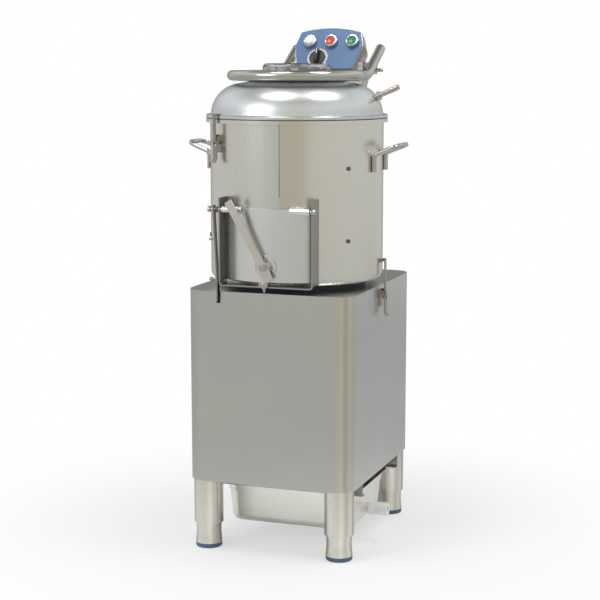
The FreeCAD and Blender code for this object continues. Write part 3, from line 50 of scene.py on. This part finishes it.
studio = {
    "floorSize": 7,
    "floorColour": (0.90, 0.90, 0.90, 1),
    "floorFar": (0.60, 0.60, 0.58, 1),
    "floorFades": (0.35, 0.95),
    "floorLift": 0.50,
    "worldColour": (0.93, 0.94, 0.95, 1),
    "worldStrength": 0.72,
    "glossStrength": 1.0,
    "byHeight": [(0.0, (0.62, 0.62, 0.60)), (0.10, (0.64, 0.64, 0.62)), (0.45, (0.90, 0.93, 0.95)),
                 (0.66, (0.78, 0.80, 0.81)), (0.80, (0.46, 0.46, 0.45)), (1.0, (0.42, 0.42, 0.42))],
    "byTurn": [(-180, (1, 1, 1)), (-147, (1, 1, 1)), (-117, (0.95, 0.95, 0.93)), (-84, (0.93, 0.91, 0.85)),
               (-78, (0.91, 0.86, 0.76)), (-56, (0.97, 0.93, 0.86)), (-35, (1, 0.99, 0.95)),
               (33, (1, 1, 0.99)), (76, (0.98, 0.98, 0.97)), (97, (0.50, 0.49, 0.46)),
               (110, (0.30, 0.29, 0.27)),
               (124, (0.50, 0.49, 0.46)), (146, (1, 1, 1)), (180, (1, 1, 1))],
    "cameraPlace": (1.15768, -3.27212, 1.06243),
    "cameraTurn": (81.27, 0.0, 19.59),
    "cameraLens": 93.49,
    "sensorWidth": 36,
    "viewReach": 50,
    "lampAim": (0, axisY, 0.7),
    "lamps": [
        ("leftLamp", (-0.42, -0.68, 3.15), 0.75, 15),
        ("rightLamp", (0.92, -0.03, 3.05), 0.75, 15),
        ("frontLamp", (-1.9, -2.9, 2.3), 2.2, 24),
    ],
}


def ramp(tree, value, stops):
    colours = tree.nodes.new("ShaderNodeValToRGB")
    band = colours.color_ramp
    for place, colour in stops[1:-1]:
        band.elements.new(place)
    for element, (place, colour) in zip(band.elements, stops):
        element.position = place
        element.color = (*colour, 1)
    tree.links.new(value, colours.inputs["Fac"])
    return colours.outputs["Color"]


def mapped(tree, value, low, high):
    span = tree.nodes.new("ShaderNodeMapRange")
    span.inputs["From Min"].default_value = low
    span.inputs["From Max"].default_value = high
    tree.links.new(value, span.inputs["Value"])
    return span.outputs["Result"]


def aroundTones(tree, across, along, tones):
    # a tone for each direction about the vertical, from (degrees, colour) pairs
    turn = tree.nodes.new("ShaderNodeMath")
    turn.operation = "ARCTAN2"
    tree.links.new(along, turn.inputs[0])
    tree.links.new(across, turn.inputs[1])
    around = mapped(tree, turn.outputs[0], -math.pi, math.pi)
    return ramp(tree, around, [((angle + 180) / 360, colour) for angle, colour in tones])


def floorMaterial():
    material = bpy.data.materials.new("paleFloor")
    material.use_nodes = True
    tree = material.node_tree
    tree.nodes.clear()
    output = tree.nodes.new("ShaderNodeOutputMaterial")
    coords = tree.nodes.new("ShaderNodeTexCoord")
    reach = tree.nodes.new("ShaderNodeVectorMath")
    reach.operation = "LENGTH"
    far = mapped(tree, reach.outputs["Value"], *studio["floorFades"])
    path = tree.nodes.new("ShaderNodeLightPath")
    dimming = tree.nodes.new("ShaderNodeMath")
    dimming.operation = "MULTIPLY"
    # to glossy rays the floor's colour darkens with distance from the middle: painted shade, seen only in
    # reflections
    tone = tree.nodes.new("ShaderNodeMix")
    tone.data_type = "RGBA"
    tone.inputs["A"].default_value = studio["floorColour"]
    tone.inputs["B"].default_value = studio["floorFar"]
    matte = tree.nodes.new("ShaderNodeBsdfDiffuse")
    white = tree.nodes.new("ShaderNodeEmission")
    clear = tree.nodes.new("ShaderNodeMath")
    clear.operation = "MULTIPLY"
    lift = tree.nodes.new("ShaderNodeMath")
    lift.operation = "MULTIPLY_ADD"
    lift.inputs[1].default_value = 1 - studio["floorLift"]
    lift.inputs[2].default_value = studio["floorLift"]
    pick = tree.nodes.new("ShaderNodeMixShader")
    tree.links.new(coords.outputs["Object"], reach.inputs[0])
    tree.links.new(far, dimming.inputs[0])
    tree.links.new(path.outputs["Is Glossy Ray"], dimming.inputs[1])
    tree.links.new(dimming.outputs[0], tone.inputs["Factor"])
    tree.links.new(tone.outputs["Result"], matte.inputs["Color"])
    tree.links.new(far, lift.inputs[0])
    tree.links.new(lift.outputs[0], clear.inputs[0])
    tree.links.new(path.outputs["Is Camera Ray"], clear.inputs[1])
    tree.links.new(clear.outputs[0], pick.inputs[0])
    tree.links.new(matte.outputs[0], pick.inputs[1])
    tree.links.new(white.outputs[0], pick.inputs[2])
    tree.links.new(pick.outputs[0], output.inputs["Surface"])
    return material


def buildWorld():
    world = bpy.data.worlds.new("studioWorld")
    bpy.context.scene.world = world
    world.use_nodes = True
    tree = world.node_tree
    tree.nodes.clear()
    output = tree.nodes.new("ShaderNodeOutputWorld")
    coords = tree.nodes.new("ShaderNodeTexCoord")
    split = tree.nodes.new("ShaderNodeSeparateXYZ")
    tree.links.new(coords.outputs["Generated"], split.inputs[0])
    turnTone = aroundTones(tree, split.outputs["X"], split.outputs["Y"], studio["byTurn"])
    tint = tree.nodes.new("ShaderNodeMix")
    tint.data_type = "RGBA"
    tint.blend_type = "MULTIPLY"
    tint.inputs["Factor"].default_value = 1
    tree.links.new(ramp(tree, split.outputs["Z"], studio["byHeight"]), tint.inputs["A"])
    tree.links.new(turnTone, tint.inputs["B"])
    room = tree.nodes.new("ShaderNodeBackground")
    room.inputs["Color"].default_value = studio["worldColour"]
    room.inputs["Strength"].default_value = studio["worldStrength"]
    gloss = tree.nodes.new("ShaderNodeBackground")
    gloss.inputs["Strength"].default_value = studio["glossStrength"]
    tree.links.new(tint.outputs["Result"], gloss.inputs["Color"])
    white = tree.nodes.new("ShaderNodeBackground")
    white.inputs["Color"].default_value = (1, 1, 1, 1)
    path = tree.nodes.new("ShaderNodeLightPath")
    mirrored = tree.nodes.new("ShaderNodeMixShader")
    seen = tree.nodes.new("ShaderNodeMixShader")
    tree.links.new(path.outputs["Is Glossy Ray"], mirrored.inputs[0])
    tree.links.new(room.outputs[0], mirrored.inputs[1])
    tree.links.new(gloss.outputs[0], mirrored.inputs[2])
    tree.links.new(path.outputs["Is Camera Ray"], seen.inputs[0])
    tree.links.new(mirrored.outputs[0], seen.inputs[1])
    tree.links.new(white.outputs[0], seen.inputs[2])
    tree.links.new(seen.outputs[0], output.inputs["Surface"])


def buildStudio():
    bpy.ops.mesh.primitive_plane_add(size=studio["floorSize"], location=(0, 0, 0))
    floor = bpy.context.object
    floor.name = "floor"
    floor.data.materials.append(floorMaterial())
    buildWorld()
    for name, place, size, power in studio["lamps"]:
        bpy.ops.object.light_add(type="AREA", location=place)
        lamp = bpy.context.object
        lamp.name = name
        lamp.data.shape = "DISK"
        lamp.data.size = size
        lamp.data.energy = power
        aim = Vector(studio["lampAim"]) - Vector(place)
        lamp.rotation_euler = aim.to_track_quat("-Z", "Y").to_euler()
    bpy.ops.object.camera_add(location=studio["cameraPlace"],
                              rotation=[math.radians(turn) for turn in studio["cameraTurn"]])
    camera = bpy.context.object
    camera.data.lens = studio["cameraLens"]
    camera.data.sensor_width = studio["sensorWidth"]
    camera.data.clip_end = studio["viewReach"]
    bpy.context.scene.camera = camera
    bpy.context.scene.view_settings.view_transform = "Standard"


buildStudio()
print("studio ready")


# Finishes

def startMaterial(name):
    material = bpy.data.materials.new(name)
    material.use_nodes = True
    tree = material.node_tree
    shader = tree.nodes["Principled BSDF"]
    coords = tree.nodes.new("ShaderNodeTexCoord")
    return material, tree, shader, coords


def stretchedNoise(tree, coords, scale, detail=3, roughness=0.6):
    mapping = tree.nodes.new("ShaderNodeMapping")
    mapping.inputs["Scale"].default_value = scale
    noise = tree.nodes.new("ShaderNodeTexNoise")
    noise.inputs["Scale"].default_value = 1
    noise.inputs["Detail"].default_value = detail
    noise.inputs["Roughness"].default_value = roughness
    tree.links.new(coords.outputs["Object"], mapping.inputs["Vector"])
    tree.links.new(mapping.outputs["Vector"], noise.inputs["Vector"])
    return noise.outputs["Fac"]


def ringNoise(tree, coords, scale):
    mapping = tree.nodes.new("ShaderNodeMapping")
    mapping.inputs["Location"].default_value = (0, -axisY, 0)
    mapping.inputs["Scale"].default_value = (1, 1, 0)
    reach = tree.nodes.new("ShaderNodeVectorMath")
    reach.operation = "LENGTH"
    noise = tree.nodes.new("ShaderNodeTexNoise")
    noise.noise_dimensions = "1D"
    noise.inputs["Scale"].default_value = scale
    noise.inputs["Detail"].default_value = 3
    tree.links.new(coords.outputs["Object"], mapping.inputs["Vector"])
    tree.links.new(mapping.outputs["Vector"], reach.inputs[0])
    tree.links.new(reach.outputs["Value"], noise.inputs["W"])
    return noise.outputs["Fac"]


def spread(tree, factor, low, high):
    span = tree.nodes.new("ShaderNodeMapRange")
    span.inputs["From Min"].default_value = 0.3
    span.inputs["From Max"].default_value = 0.7
    span.inputs["To Min"].default_value = low
    span.inputs["To Max"].default_value = high
    tree.links.new(factor, span.inputs["Value"])
    return span.outputs["Result"]


def twoTone(tree, shader, factor, first, second):
    mix = tree.nodes.new("ShaderNodeMix")
    mix.data_type = "RGBA"
    mix.inputs["A"].default_value = (*first, 1)
    mix.inputs["B"].default_value = (*second, 1)
    tree.links.new(factor, mix.inputs["Factor"])
    tree.links.new(mix.outputs["Result"], shader.inputs["Base Color"])


def relief(tree, shader, factor, depth, strength=0.5):
    bump = tree.nodes.new("ShaderNodeBump")
    bump.inputs["Distance"].default_value = depth
    bump.inputs["Strength"].default_value = strength
    tree.links.new(factor, bump.inputs["Height"])
    tree.links.new(bump.outputs["Normal"], shader.inputs["Normal"])


def metalSheet(name, colour, rough, grain, depth=0.00002, tint=0.04):
    material, tree, shader, coords = startMaterial(name)
    shader.inputs["Metallic"].default_value = 1
    streaks = stretchedNoise(tree, coords, grain)
    clouds = spread(tree, stretchedNoise(tree, coords, (7, 7, 4), 4), 0, 1)
    twoTone(tree, shader, clouds, [c * (1 - tint) for c in colour], [c * (1 + tint) for c in colour])
    tree.links.new(spread(tree, streaks, rough - 0.02, rough + 0.03), shader.inputs["Roughness"])
    relief(tree, shader, streaks, depth)
    return material


def spunMetal(name, colour, rough):
    material, tree, shader, coords = startMaterial(name)
    shader.inputs["Metallic"].default_value = 1
    rings = ringNoise(tree, coords, 1500)
    clouds = spread(tree, stretchedNoise(tree, coords, (9, 9, 9), 3), 0, 1)
    twoTone(tree, shader, clouds, [c * 0.97 for c in colour], [c * 1.03 for c in colour])
    tree.links.new(spread(tree, rings, rough - 0.01, rough + 0.01), shader.inputs["Roughness"])
    return material


def moulded(name, colour, rough, grainScale=900, depth=0.00002, tint=0.06):
    material, tree, shader, coords = startMaterial(name)
    grain = stretchedNoise(tree, coords, (grainScale, grainScale, grainScale), 2)
    clouds = spread(tree, stretchedNoise(tree, coords, (30, 30, 30), 2), 0, 1)
    twoTone(tree, shader, clouds, [c * (1 - tint) for c in colour], [min(1, c * (1 + tint)) for c in colour])
    tree.links.new(spread(tree, grain, rough - 0.05, rough + 0.05), shader.inputs["Roughness"])
    relief(tree, shader, grain, depth, 0.3)
    return material


def clearPlastic():
    material, tree, shader, coords = startMaterial("clearPolycarbonate")
    shader.inputs["Base Color"].default_value = (0.95, 0.975, 0.98, 1)
    shader.inputs["Transmission Weight"].default_value = 1
    shader.inputs["IOR"].default_value = 1.45
    haze = stretchedNoise(tree, coords, (60, 60, 60), 3)
    tree.links.new(spread(tree, haze, 0.02, 0.09), shader.inputs["Roughness"])
    return material


def gritCoat():
    material, tree, shader, coords = startMaterial("abrasiveGrit")
    grit = stretchedNoise(tree, coords, (700, 700, 700), 4, 0.8)
    twoTone(tree, shader, spread(tree, grit, 0, 1), (0.05, 0.05, 0.05), (0.22, 0.21, 0.20))
    shader.inputs["Roughness"].default_value = 0.85
    relief(tree, shader, grit, 0.0012, 1.0)
    return material


def drumMetal():
    # one sheet rolled round and welded in front; its base colour changes with the angle round the drum axis,
    # painted reflection and shade: a warm darker band from the seam to about -60 degrees, lighter sheet
    # elsewhere
    material, tree, shader, coords = startMaterial("drumSheet")
    shader.inputs["Metallic"].default_value = 1
    split = tree.nodes.new("ShaderNodeSeparateXYZ")
    shift = tree.nodes.new("ShaderNodeMath")
    shift.inputs[1].default_value = -axisY
    tree.links.new(coords.outputs["Object"], split.inputs[0])
    tree.links.new(split.outputs["Y"], shift.inputs[0])
    tone = aroundTones(tree, split.outputs["X"], shift.outputs[0], drumPaintedReflections)
    tree.links.new(tone, shader.inputs["Base Color"])
    streaks = stretchedNoise(tree, coords, upright)
    tree.links.new(spread(tree, streaks, 0.26, 0.30), shader.inputs["Roughness"])
    relief(tree, shader, streaks, 0.0000015)
    return material


def paintedReflectionMetal(name, rough, tones, grain):
    # rolled sheet with painted reflection and shade: its base colour shifts softly with the way the surface
    # faces about the vertical, so each side and rounded corner carries its own painted tone
    material, tree, shader, coords = startMaterial(name)
    shader.inputs["Metallic"].default_value = 1
    split = tree.nodes.new("ShaderNodeSeparateXYZ")
    tree.links.new(coords.outputs["Normal"], split.inputs[0])
    clouds = spread(tree, stretchedNoise(tree, coords, (4, 4, 6), 3), 0.0, 1.0)
    mix = tree.nodes.new("ShaderNodeMix")
    mix.data_type = "RGBA"
    mix.blend_type = "MULTIPLY"
    mix.inputs["Factor"].default_value = 1
    veil = tree.nodes.new("ShaderNodeMix")
    veil.data_type = "RGBA"
    veil.inputs["A"].default_value = (0.93, 0.95, 0.955, 1)
    veil.inputs["B"].default_value = (1.0, 0.995, 0.97, 1)
    tree.links.new(clouds, veil.inputs["Factor"])
    tone = aroundTones(tree, split.outputs["X"], split.outputs["Y"], tones)
    tree.links.new(tone, mix.inputs["A"])
    tree.links.new(veil.outputs["Result"], mix.inputs["B"])
    tree.links.new(mix.outputs["Result"], shader.inputs["Base Color"])
    streaks = stretchedNoise(tree, coords, grain)
    tree.links.new(spread(tree, streaks, rough - 0.01, rough + 0.02), shader.inputs["Roughness"])
    return material


# painted reflection and shade for the cabinet: base colour by facing direction, with warm light and dark
# bands round the front right corner
boxPaintedReflections = [(-180, (0.56, 0.56, 0.55)), (-95, (0.57, 0.57, 0.54)), (-86, (0.57, 0.57, 0.54)),
            (-78, (0.62, 0.60, 0.54)), (-64, (0.70, 0.67, 0.58)), (-52, (0.54, 0.51, 0.43)),
            (-38, (0.68, 0.64, 0.55)), (-22, (0.62, 0.60, 0.53)), (-8, (0.64, 0.645, 0.64)),
            (10, (0.64, 0.645, 0.65)), (90, (0.56, 0.56, 0.55)), (180, (0.56, 0.56, 0.55))]
# painted reflection and shade for the legs and sleeves: base colour by facing direction, light and dark
# bands round each tube
legPaintedReflections = [(-180, (0.50, 0.49, 0.46)), (-150, (0.42, 0.41, 0.38)), (-122, (0.80, 0.79, 0.73)),
            (-95, (0.74, 0.73, 0.68)), (-80, (0.74, 0.72, 0.66)), (-62, (0.88, 0.86, 0.78)),
            (-45, (0.62, 0.58, 0.50)), (-22, (0.80, 0.77, 0.69)), (-5, (0.50, 0.48, 0.43)),
            (20, (0.60, 0.59, 0.55)), (180, (0.50, 0.49, 0.46))]
upright = (260, 260, 5)
# painted reflection and shade for the drum: base colour by angle round its axis
drumPaintedReflections = [(-180, (0.74, 0.73, 0.69)), (-125, (0.76, 0.755, 0.71)), (-81.9, (0.68, 0.68, 0.655)),
             (-81.3, (0.66, 0.61, 0.52)), (-68, (0.70, 0.66, 0.59)), (-60, (0.78, 0.77, 0.71)),
             (0, (0.79, 0.785, 0.74)), (180, (0.74, 0.73, 0.69))]
finishes = {
    "brushed_box": metalSheet("brushedSheet", (0.55, 0.54, 0.50), 0.30, upright, 0.000004, 0.02),
    "polished_tube": metalSheet("polishedTube", (0.53, 0.515, 0.485), 0.16, (160, 160, 160), 0.000002, 0.02),
    "satin_dome": spunMetal("satinSpun", (0.67, 0.69, 0.695), 0.31),
    "clear": clearPlastic(),
    "rubber": moulded("blackRubber", (0.035, 0.035, 0.037), 0.6, 500, 0.00005),
    "blue_panel": moulded("bluePanel", (0.062, 0.15, 0.31), 0.40),
    "white_plastic": moulded("whitePlastic", (0.88, 0.88, 0.85), 0.32, tint=0.03),
    "red_plastic": moulded("redPlastic", (0.60, 0.055, 0.045), 0.25),
    "green_plastic": moulded("greenPlastic", (0.015, 0.22, 0.09), 0.25),
    "black_plastic": moulded("blackPlastic", (0.018, 0.018, 0.019), 0.42),
    "grey_plastic": moulded("greyPlastic", (0.60, 0.61, 0.60), 0.35, tint=0.03),
    "foot_plastic": moulded("footPlastic", (0.07, 0.12, 0.21), 0.5),
    "cast_motor": moulded("motorEnamel", (0.16, 0.19, 0.22), 0.45, 300, 0.0001),
    "cast_housing": metalSheet("castHousing", (0.36, 0.36, 0.37), 0.5, (300, 300, 300), 0.0001),
    "abrasive": gritCoat(),
    "steel_parts": metalSheet("steelParts", (0.50, 0.485, 0.46), 0.24, (200, 200, 200), 0.000004),
    "spring_steel": metalSheet("springSteel", (0.34, 0.24, 0.16), 0.35, (400, 400, 400), 0.00001),
}
darkScrews = metalSheet("darkScrews", (0.16, 0.15, 0.14), 0.35, (200, 200, 200), 0.000004)
bezelChrome = metalSheet("bezelChrome", (0.66, 0.66, 0.65), 0.18, (200, 200, 200), 0.000002, 0.02)
special = {
    "drum_shell": drumMetal(),
    "door_plate": spunMetal("satinDoor", (0.74, 0.76, 0.76), 0.30),
    "door_lever": metalSheet("leverSteel", (0.66, 0.62, 0.56), 0.33, (200, 200, 30), 0.000004),
    "door_frame": metalSheet("frameSteel", (0.38, 0.375, 0.37), 0.26, upright, 0.000004),
    "tray_rails": metalSheet("railSheet", (0.50, 0.49, 0.46), 0.36, (5, 420, 420), 0.000004),
    # the tray's base is much lighter than the other steel: painted light making up for the shade it sits in
    # under the cabinet
    "waste_tray": metalSheet("traySheet", (0.92, 0.91, 0.85), 0.36, (6, 200, 200), 0.000002),
    "base_frame": paintedReflectionMetal("legSteel", 0.27, legPaintedReflections, upright),
    "leg_sleeves": paintedReflectionMetal("sleeveSteel", 0.25, legPaintedReflections, upright),
    "cabinet_shell": paintedReflectionMetal("boxSheet", 0.30, boxPaintedReflections, upright),
    "liner_screws": darkScrews,
    "interlock_arm": metalSheet("armSteel", (0.34, 0.32, 0.29), 0.28, upright, 0.000002),
    "water_nozzle": metalSheet("nozzleSteel", (0.50, 0.46, 0.40), 0.28, (160, 160, 160), 0.000002),
    "button_bezels": bezelChrome,
}
latchSteel = metalSheet("latchSteel", (0.36, 0.32, 0.275), 0.24, (160, 160, 160), 0.000002)
special["latch_brackets"] = latchSteel
for name in slotOf:
    if "_latch_" in name:
        special[name] = latchSteel
for name, obj in frame["nodes"].items():
    material = special.get(name, finishes[slotOf[name]])
    obj.data.materials.clear()
    obj.data.materials.append(material)
print("finishes on", len(frame["nodes"]), "nodes")


# Softened copies: sheet and turned edges that catch the light

softened = {
    "cabinet_shell": 0.0, "drum_shell": 0.0008, "door_plate": 0.0012, "door_frame": 0.0005,
    "door_lever": 0.0008, "lever_bolt": 0.0006, "door_catch": 0.0006, "interlock_arm": 0.0005,
    "cover_dome": 0.0008, "ring_tube": 0.0006, "clear_lid": 0.0010, "control_column": 0.0012,
    "control_plate": 0.0007, "waste_tray": 0.0004, "drain_fitting": 0.0012,
    "leg_sleeves": 0.0005, "foot_caps": 0.0012, "latch_brackets": 0.0004,
    "panel_screws": 0.0008, "cable_gland": 0.0008, "base_frame": 0.0005,
}
for latch in ("cover_latch_left", "cover_latch_right", "drum_latch_left", "drum_latch_right"):
    softened[latch + "_lever"] = 0.0004
    softened[latch + "_strap"] = 0.0004


def camel(name):
    words = name.split("_")
    return words[0] + "".join(word.capitalize() for word in words[1:])


def clearSelection():
    bpy.ops.object.select_all(action="DESELECT")


def soften(name, width):
    source = frame["nodes"][name]
    piece = bpy.data.objects.new(camel(name), source.data.copy())
    bpy.context.collection.objects.link(piece)
    clearSelection()
    piece.select_set(True)
    bpy.context.view_layer.objects.active = piece
    bpy.ops.object.mode_set(mode="EDIT")
    bpy.ops.mesh.select_all(action="SELECT")
    bpy.ops.mesh.remove_doubles(threshold=0.00001)
    bpy.ops.mesh.dissolve_limited(angle_limit=math.radians(0.4))
    bpy.ops.object.mode_set(mode="OBJECT")
    if width:
        bevel = piece.modifiers.new("edges", "BEVEL")
        bevel.width = width
        bevel.segments = 2
        bevel.limit_method = "ANGLE"
        bevel.angle_limit = math.radians(40)
        bevel.use_clamp_overlap = True
        bpy.ops.object.modifier_apply(modifier="edges")
    bpy.ops.object.shade_smooth_by_angle(angle=math.radians(32))
    facing = piece.modifiers.new("facing", "WEIGHTED_NORMAL")
    facing.keep_sharp = True
    facing.weight = 80
    bpy.ops.object.modifier_apply(modifier="facing")
    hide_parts(name)
    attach(piece, bodyOf[name])
    return piece


for name, width in softened.items():
    soften(name, width)
print("softened", len(softened), "pieces")

# Turned pieces: rings drawn out along a profile of (radius, height) in millimetres

def turned(name, profile, segments=64, closed=False):
    start = profile[0]
    clearSelection()
    bpy.ops.mesh.primitive_circle_add(vertices=segments, radius=start[0] / 1000,
                                      location=(0, 0, 0), fill_type="NOTHING")
    piece = bpy.context.object
    piece.name = name
    bpy.ops.object.mode_set(mode="EDIT")
    bpy.ops.mesh.select_all(action="SELECT")
    bpy.ops.transform.translate(value=(0, 0, start[1] / 1000))
    radius, level = start
    for nextRadius, nextLevel in profile[1:]:
        bpy.ops.mesh.extrude_region_move()
        factor = nextRadius / radius
        bpy.ops.transform.resize(value=(factor, factor, 1))
        bpy.ops.transform.translate(value=(0, 0, (nextLevel - level) / 1000))
        radius, level = nextRadius, nextLevel
    bpy.ops.mesh.select_all(action="SELECT")
    bpy.ops.mesh.remove_doubles(threshold=0.000005)
    if not closed:
        bpy.ops.mesh.select_all(action="DESELECT")
        bpy.ops.mesh.select_non_manifold(extend=False, use_wire=False, use_multi_face=False,
                                         use_non_contiguous=False, use_verts=False)
        bpy.ops.mesh.edge_face_add()
    bpy.ops.mesh.select_all(action="SELECT")
    bpy.ops.mesh.normals_make_consistent(inside=False)
    bpy.ops.object.mode_set(mode="OBJECT")
    bpy.ops.object.shade_smooth_by_angle(angle=math.radians(35))
    return piece


def block(name, size, centre, edge):
    clearSelection()
    bpy.ops.mesh.primitive_cube_add(size=1, location=(0, 0, 0))
    piece = bpy.context.object
    piece.name = name
    piece.scale = [length / 1000 for length in size]
    bpy.ops.object.transform_apply(scale=True)
    bevel = piece.modifiers.new("edges", "BEVEL")
    bevel.width = edge / 1000
    bevel.segments = 3
    bpy.ops.object.modifier_apply(modifier="edges")
    bpy.ops.object.shade_smooth_by_angle(angle=math.radians(35))
    piece.data.transform(Matrix.Translation([length / 1000 for length in centre]))
    return piece


def joined(name, pieces):
    clearSelection()
    for piece in pieces:
        piece.select_set(True)
    bpy.context.view_layer.objects.active = pieces[0]
    bpy.ops.object.join()
    pieces[0].name = name
    return pieces[0]


def finished(piece, material, body, slot, *nodes):
    piece.data.materials.clear()
    piece.data.materials.append(material)
    if nodes:
        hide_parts(*nodes)
    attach(piece, body)
    return piece


# Control head: collars, caps, lamp and timer on the tilted face

head = {
    "tilt": 31,
    "origin": (0, axisY + 0.218, 1.096),
    "plateWall": 2,
    "row": 9,
    "shift": 5.5,
    "pitch": 51,
    "dialAcross": -21,
    "dialUp": -33,
    "collar": [(13.9, 0), (13.9, 3.2), (14.5, 3.8), (14.5, 5.4), (13.7, 5.9), (13.7, 6.6), (14.4, 7.1),
               (14.4, 9.0), (13.6, 9.9), (12.4, 10.0), (11.5, 9.4), (11.4, 1.0)],
    "cap": [(10.9, 1.2), (10.9, 8.9), (10.5, 9.4), (9.8, 9.5), (9.0, 9.3), (7.0, 8.7), (3.5, 8.3),
            (0.5, 8.2)],
    "lens": [(10.9, 1.2), (10.9, 10.0), (10.3, 11.3), (9.0, 12.3), (6.5, 13.0), (3.0, 13.4),
             (0.5, 13.5)],
    "dial": [(4.6, 0), (24.3, 0), (24.5, 0.3), (24.5, 1.2), (24.2, 1.5), (20.4, 1.5), (20.0, 1.2),
             (4.6, 1.2)],
    "skirt": [(18.8, 1.9), (19.0, 2.2), (19.0, 4.2), (18.4, 4.9), (17.2, 4.9), (16.6, 4.3), (0.5, 4.3)],
    "knobBar": ((8.4, 34, 12), (0, 1, 10.3), 1.6),
    "pointer": ((1.6, 13, 0.8), (0, 10.5, 16.2), 0.2),
    "tick": ((0.7, 2.4, 0.3), (0, 22.4, 1.5), 0.05),
    "tickCount": 16,
}


def onHead(across, up, out):
    lean = math.radians(head["tilt"])
    sine, cosine = math.sin(lean), math.cos(lean)
    turn = Matrix(((1, 0, 0, 0), (0, sine, -cosine, 0), (0, cosine, sine, 0), (0, 0, 0, 1)))
    offset = Matrix.Translation((across / 1000, up / 1000, out / 1000))
    return Matrix.Translation(head["origin"]) @ turn @ offset


def buildHead():
    places = [head["shift"] + step * head["pitch"] for step in (-1, 0, 1)]
    collars = []
    for across in places:
        collar = turned("collar", head["collar"])
        collar.data.transform(onHead(across, head["row"], head["plateWall"]))
        collars.append(collar)
    finished(joined("buttonCollars", collars), bezelChrome, "machine", "grey_plastic", "button_bezels")
    caps = (("lampDome", "lens", 0, "white_plastic", "machine", "lamp_lens"),
            ("stopCap", "cap", 1, "red_plastic", bodyOf["stop_button"], "stop_button"),
            ("startCap", "cap", 2, "green_plastic", bodyOf["start_button"], "start_button"))
    for name, profile, index, slot, body, node in caps:
        cap = turned(name, head[profile])
        cap.data.transform(onHead(places[index], head["row"], head["plateWall"]))
        finished(cap, finishes[slot], body, slot, node)
    timerPlace = onHead(head["dialAcross"], head["dialUp"], head["plateWall"])
    dial = turned("timerRing", head["dial"], closed=True)
    dial.data.transform(timerPlace)
    finished(dial, finishes["grey_plastic"], "machine", "grey_plastic", "timer_dial")
    ticks = []
    for index in range(head["tickCount"]):
        tick = block("tick", *head["tick"])
        tick.data.transform(Matrix.Rotation(math.tau * index / head["tickCount"], 4, "Z"))
        tick.data.transform(timerPlace)
        ticks.append(tick)
    finished(joined("timerTicks", ticks), finishes["black_plastic"], "machine", "black_plastic")
    knob = joined("timerKnob", [turned("skirt", head["skirt"]), block("bar", *head["knobBar"])])
    knob.data.transform(timerPlace)
    finished(knob, finishes["black_plastic"], bodyOf["timer_knob"], "black_plastic", "timer_knob")
    pointer = block("timerPointer", *head["pointer"])
    pointer.data.transform(timerPlace)
    finished(pointer, finishes["white_plastic"], bodyOf["timer_knob"], "white_plastic")


buildHead()
print("control head built")


# Drum: the upright weld above the door

seam = {
    "angle": -81.6,
    "radius": 190.0,
    "low": 780,
    "high": 937,
    "wide": 1.3,
    "proud": 0.25,
    "sunk": 0.3,
    "edge": 0.2,
}


def buildSeam():
    height = seam["high"] - seam["low"]
    bead = block("drumSeam", (2 * (seam["proud"] + seam["sunk"]), seam["wide"], height),
                 (seam["radius"] - seam["sunk"], 0, (seam["high"] + seam["low"]) / 2), seam["edge"])
    bead.data.transform(Matrix.Rotation(math.radians(seam["angle"]), 4, "Z"))
    bead.data.transform(Matrix.Translation((0, axisY, 0)))
    weld = metalSheet("weldBead", (0.13, 0.12, 0.10), 0.4, (300, 300, 300), 0.00002)
    finished(bead, weld, "machine", "brushed_box")


buildSeam()
print("seam built")
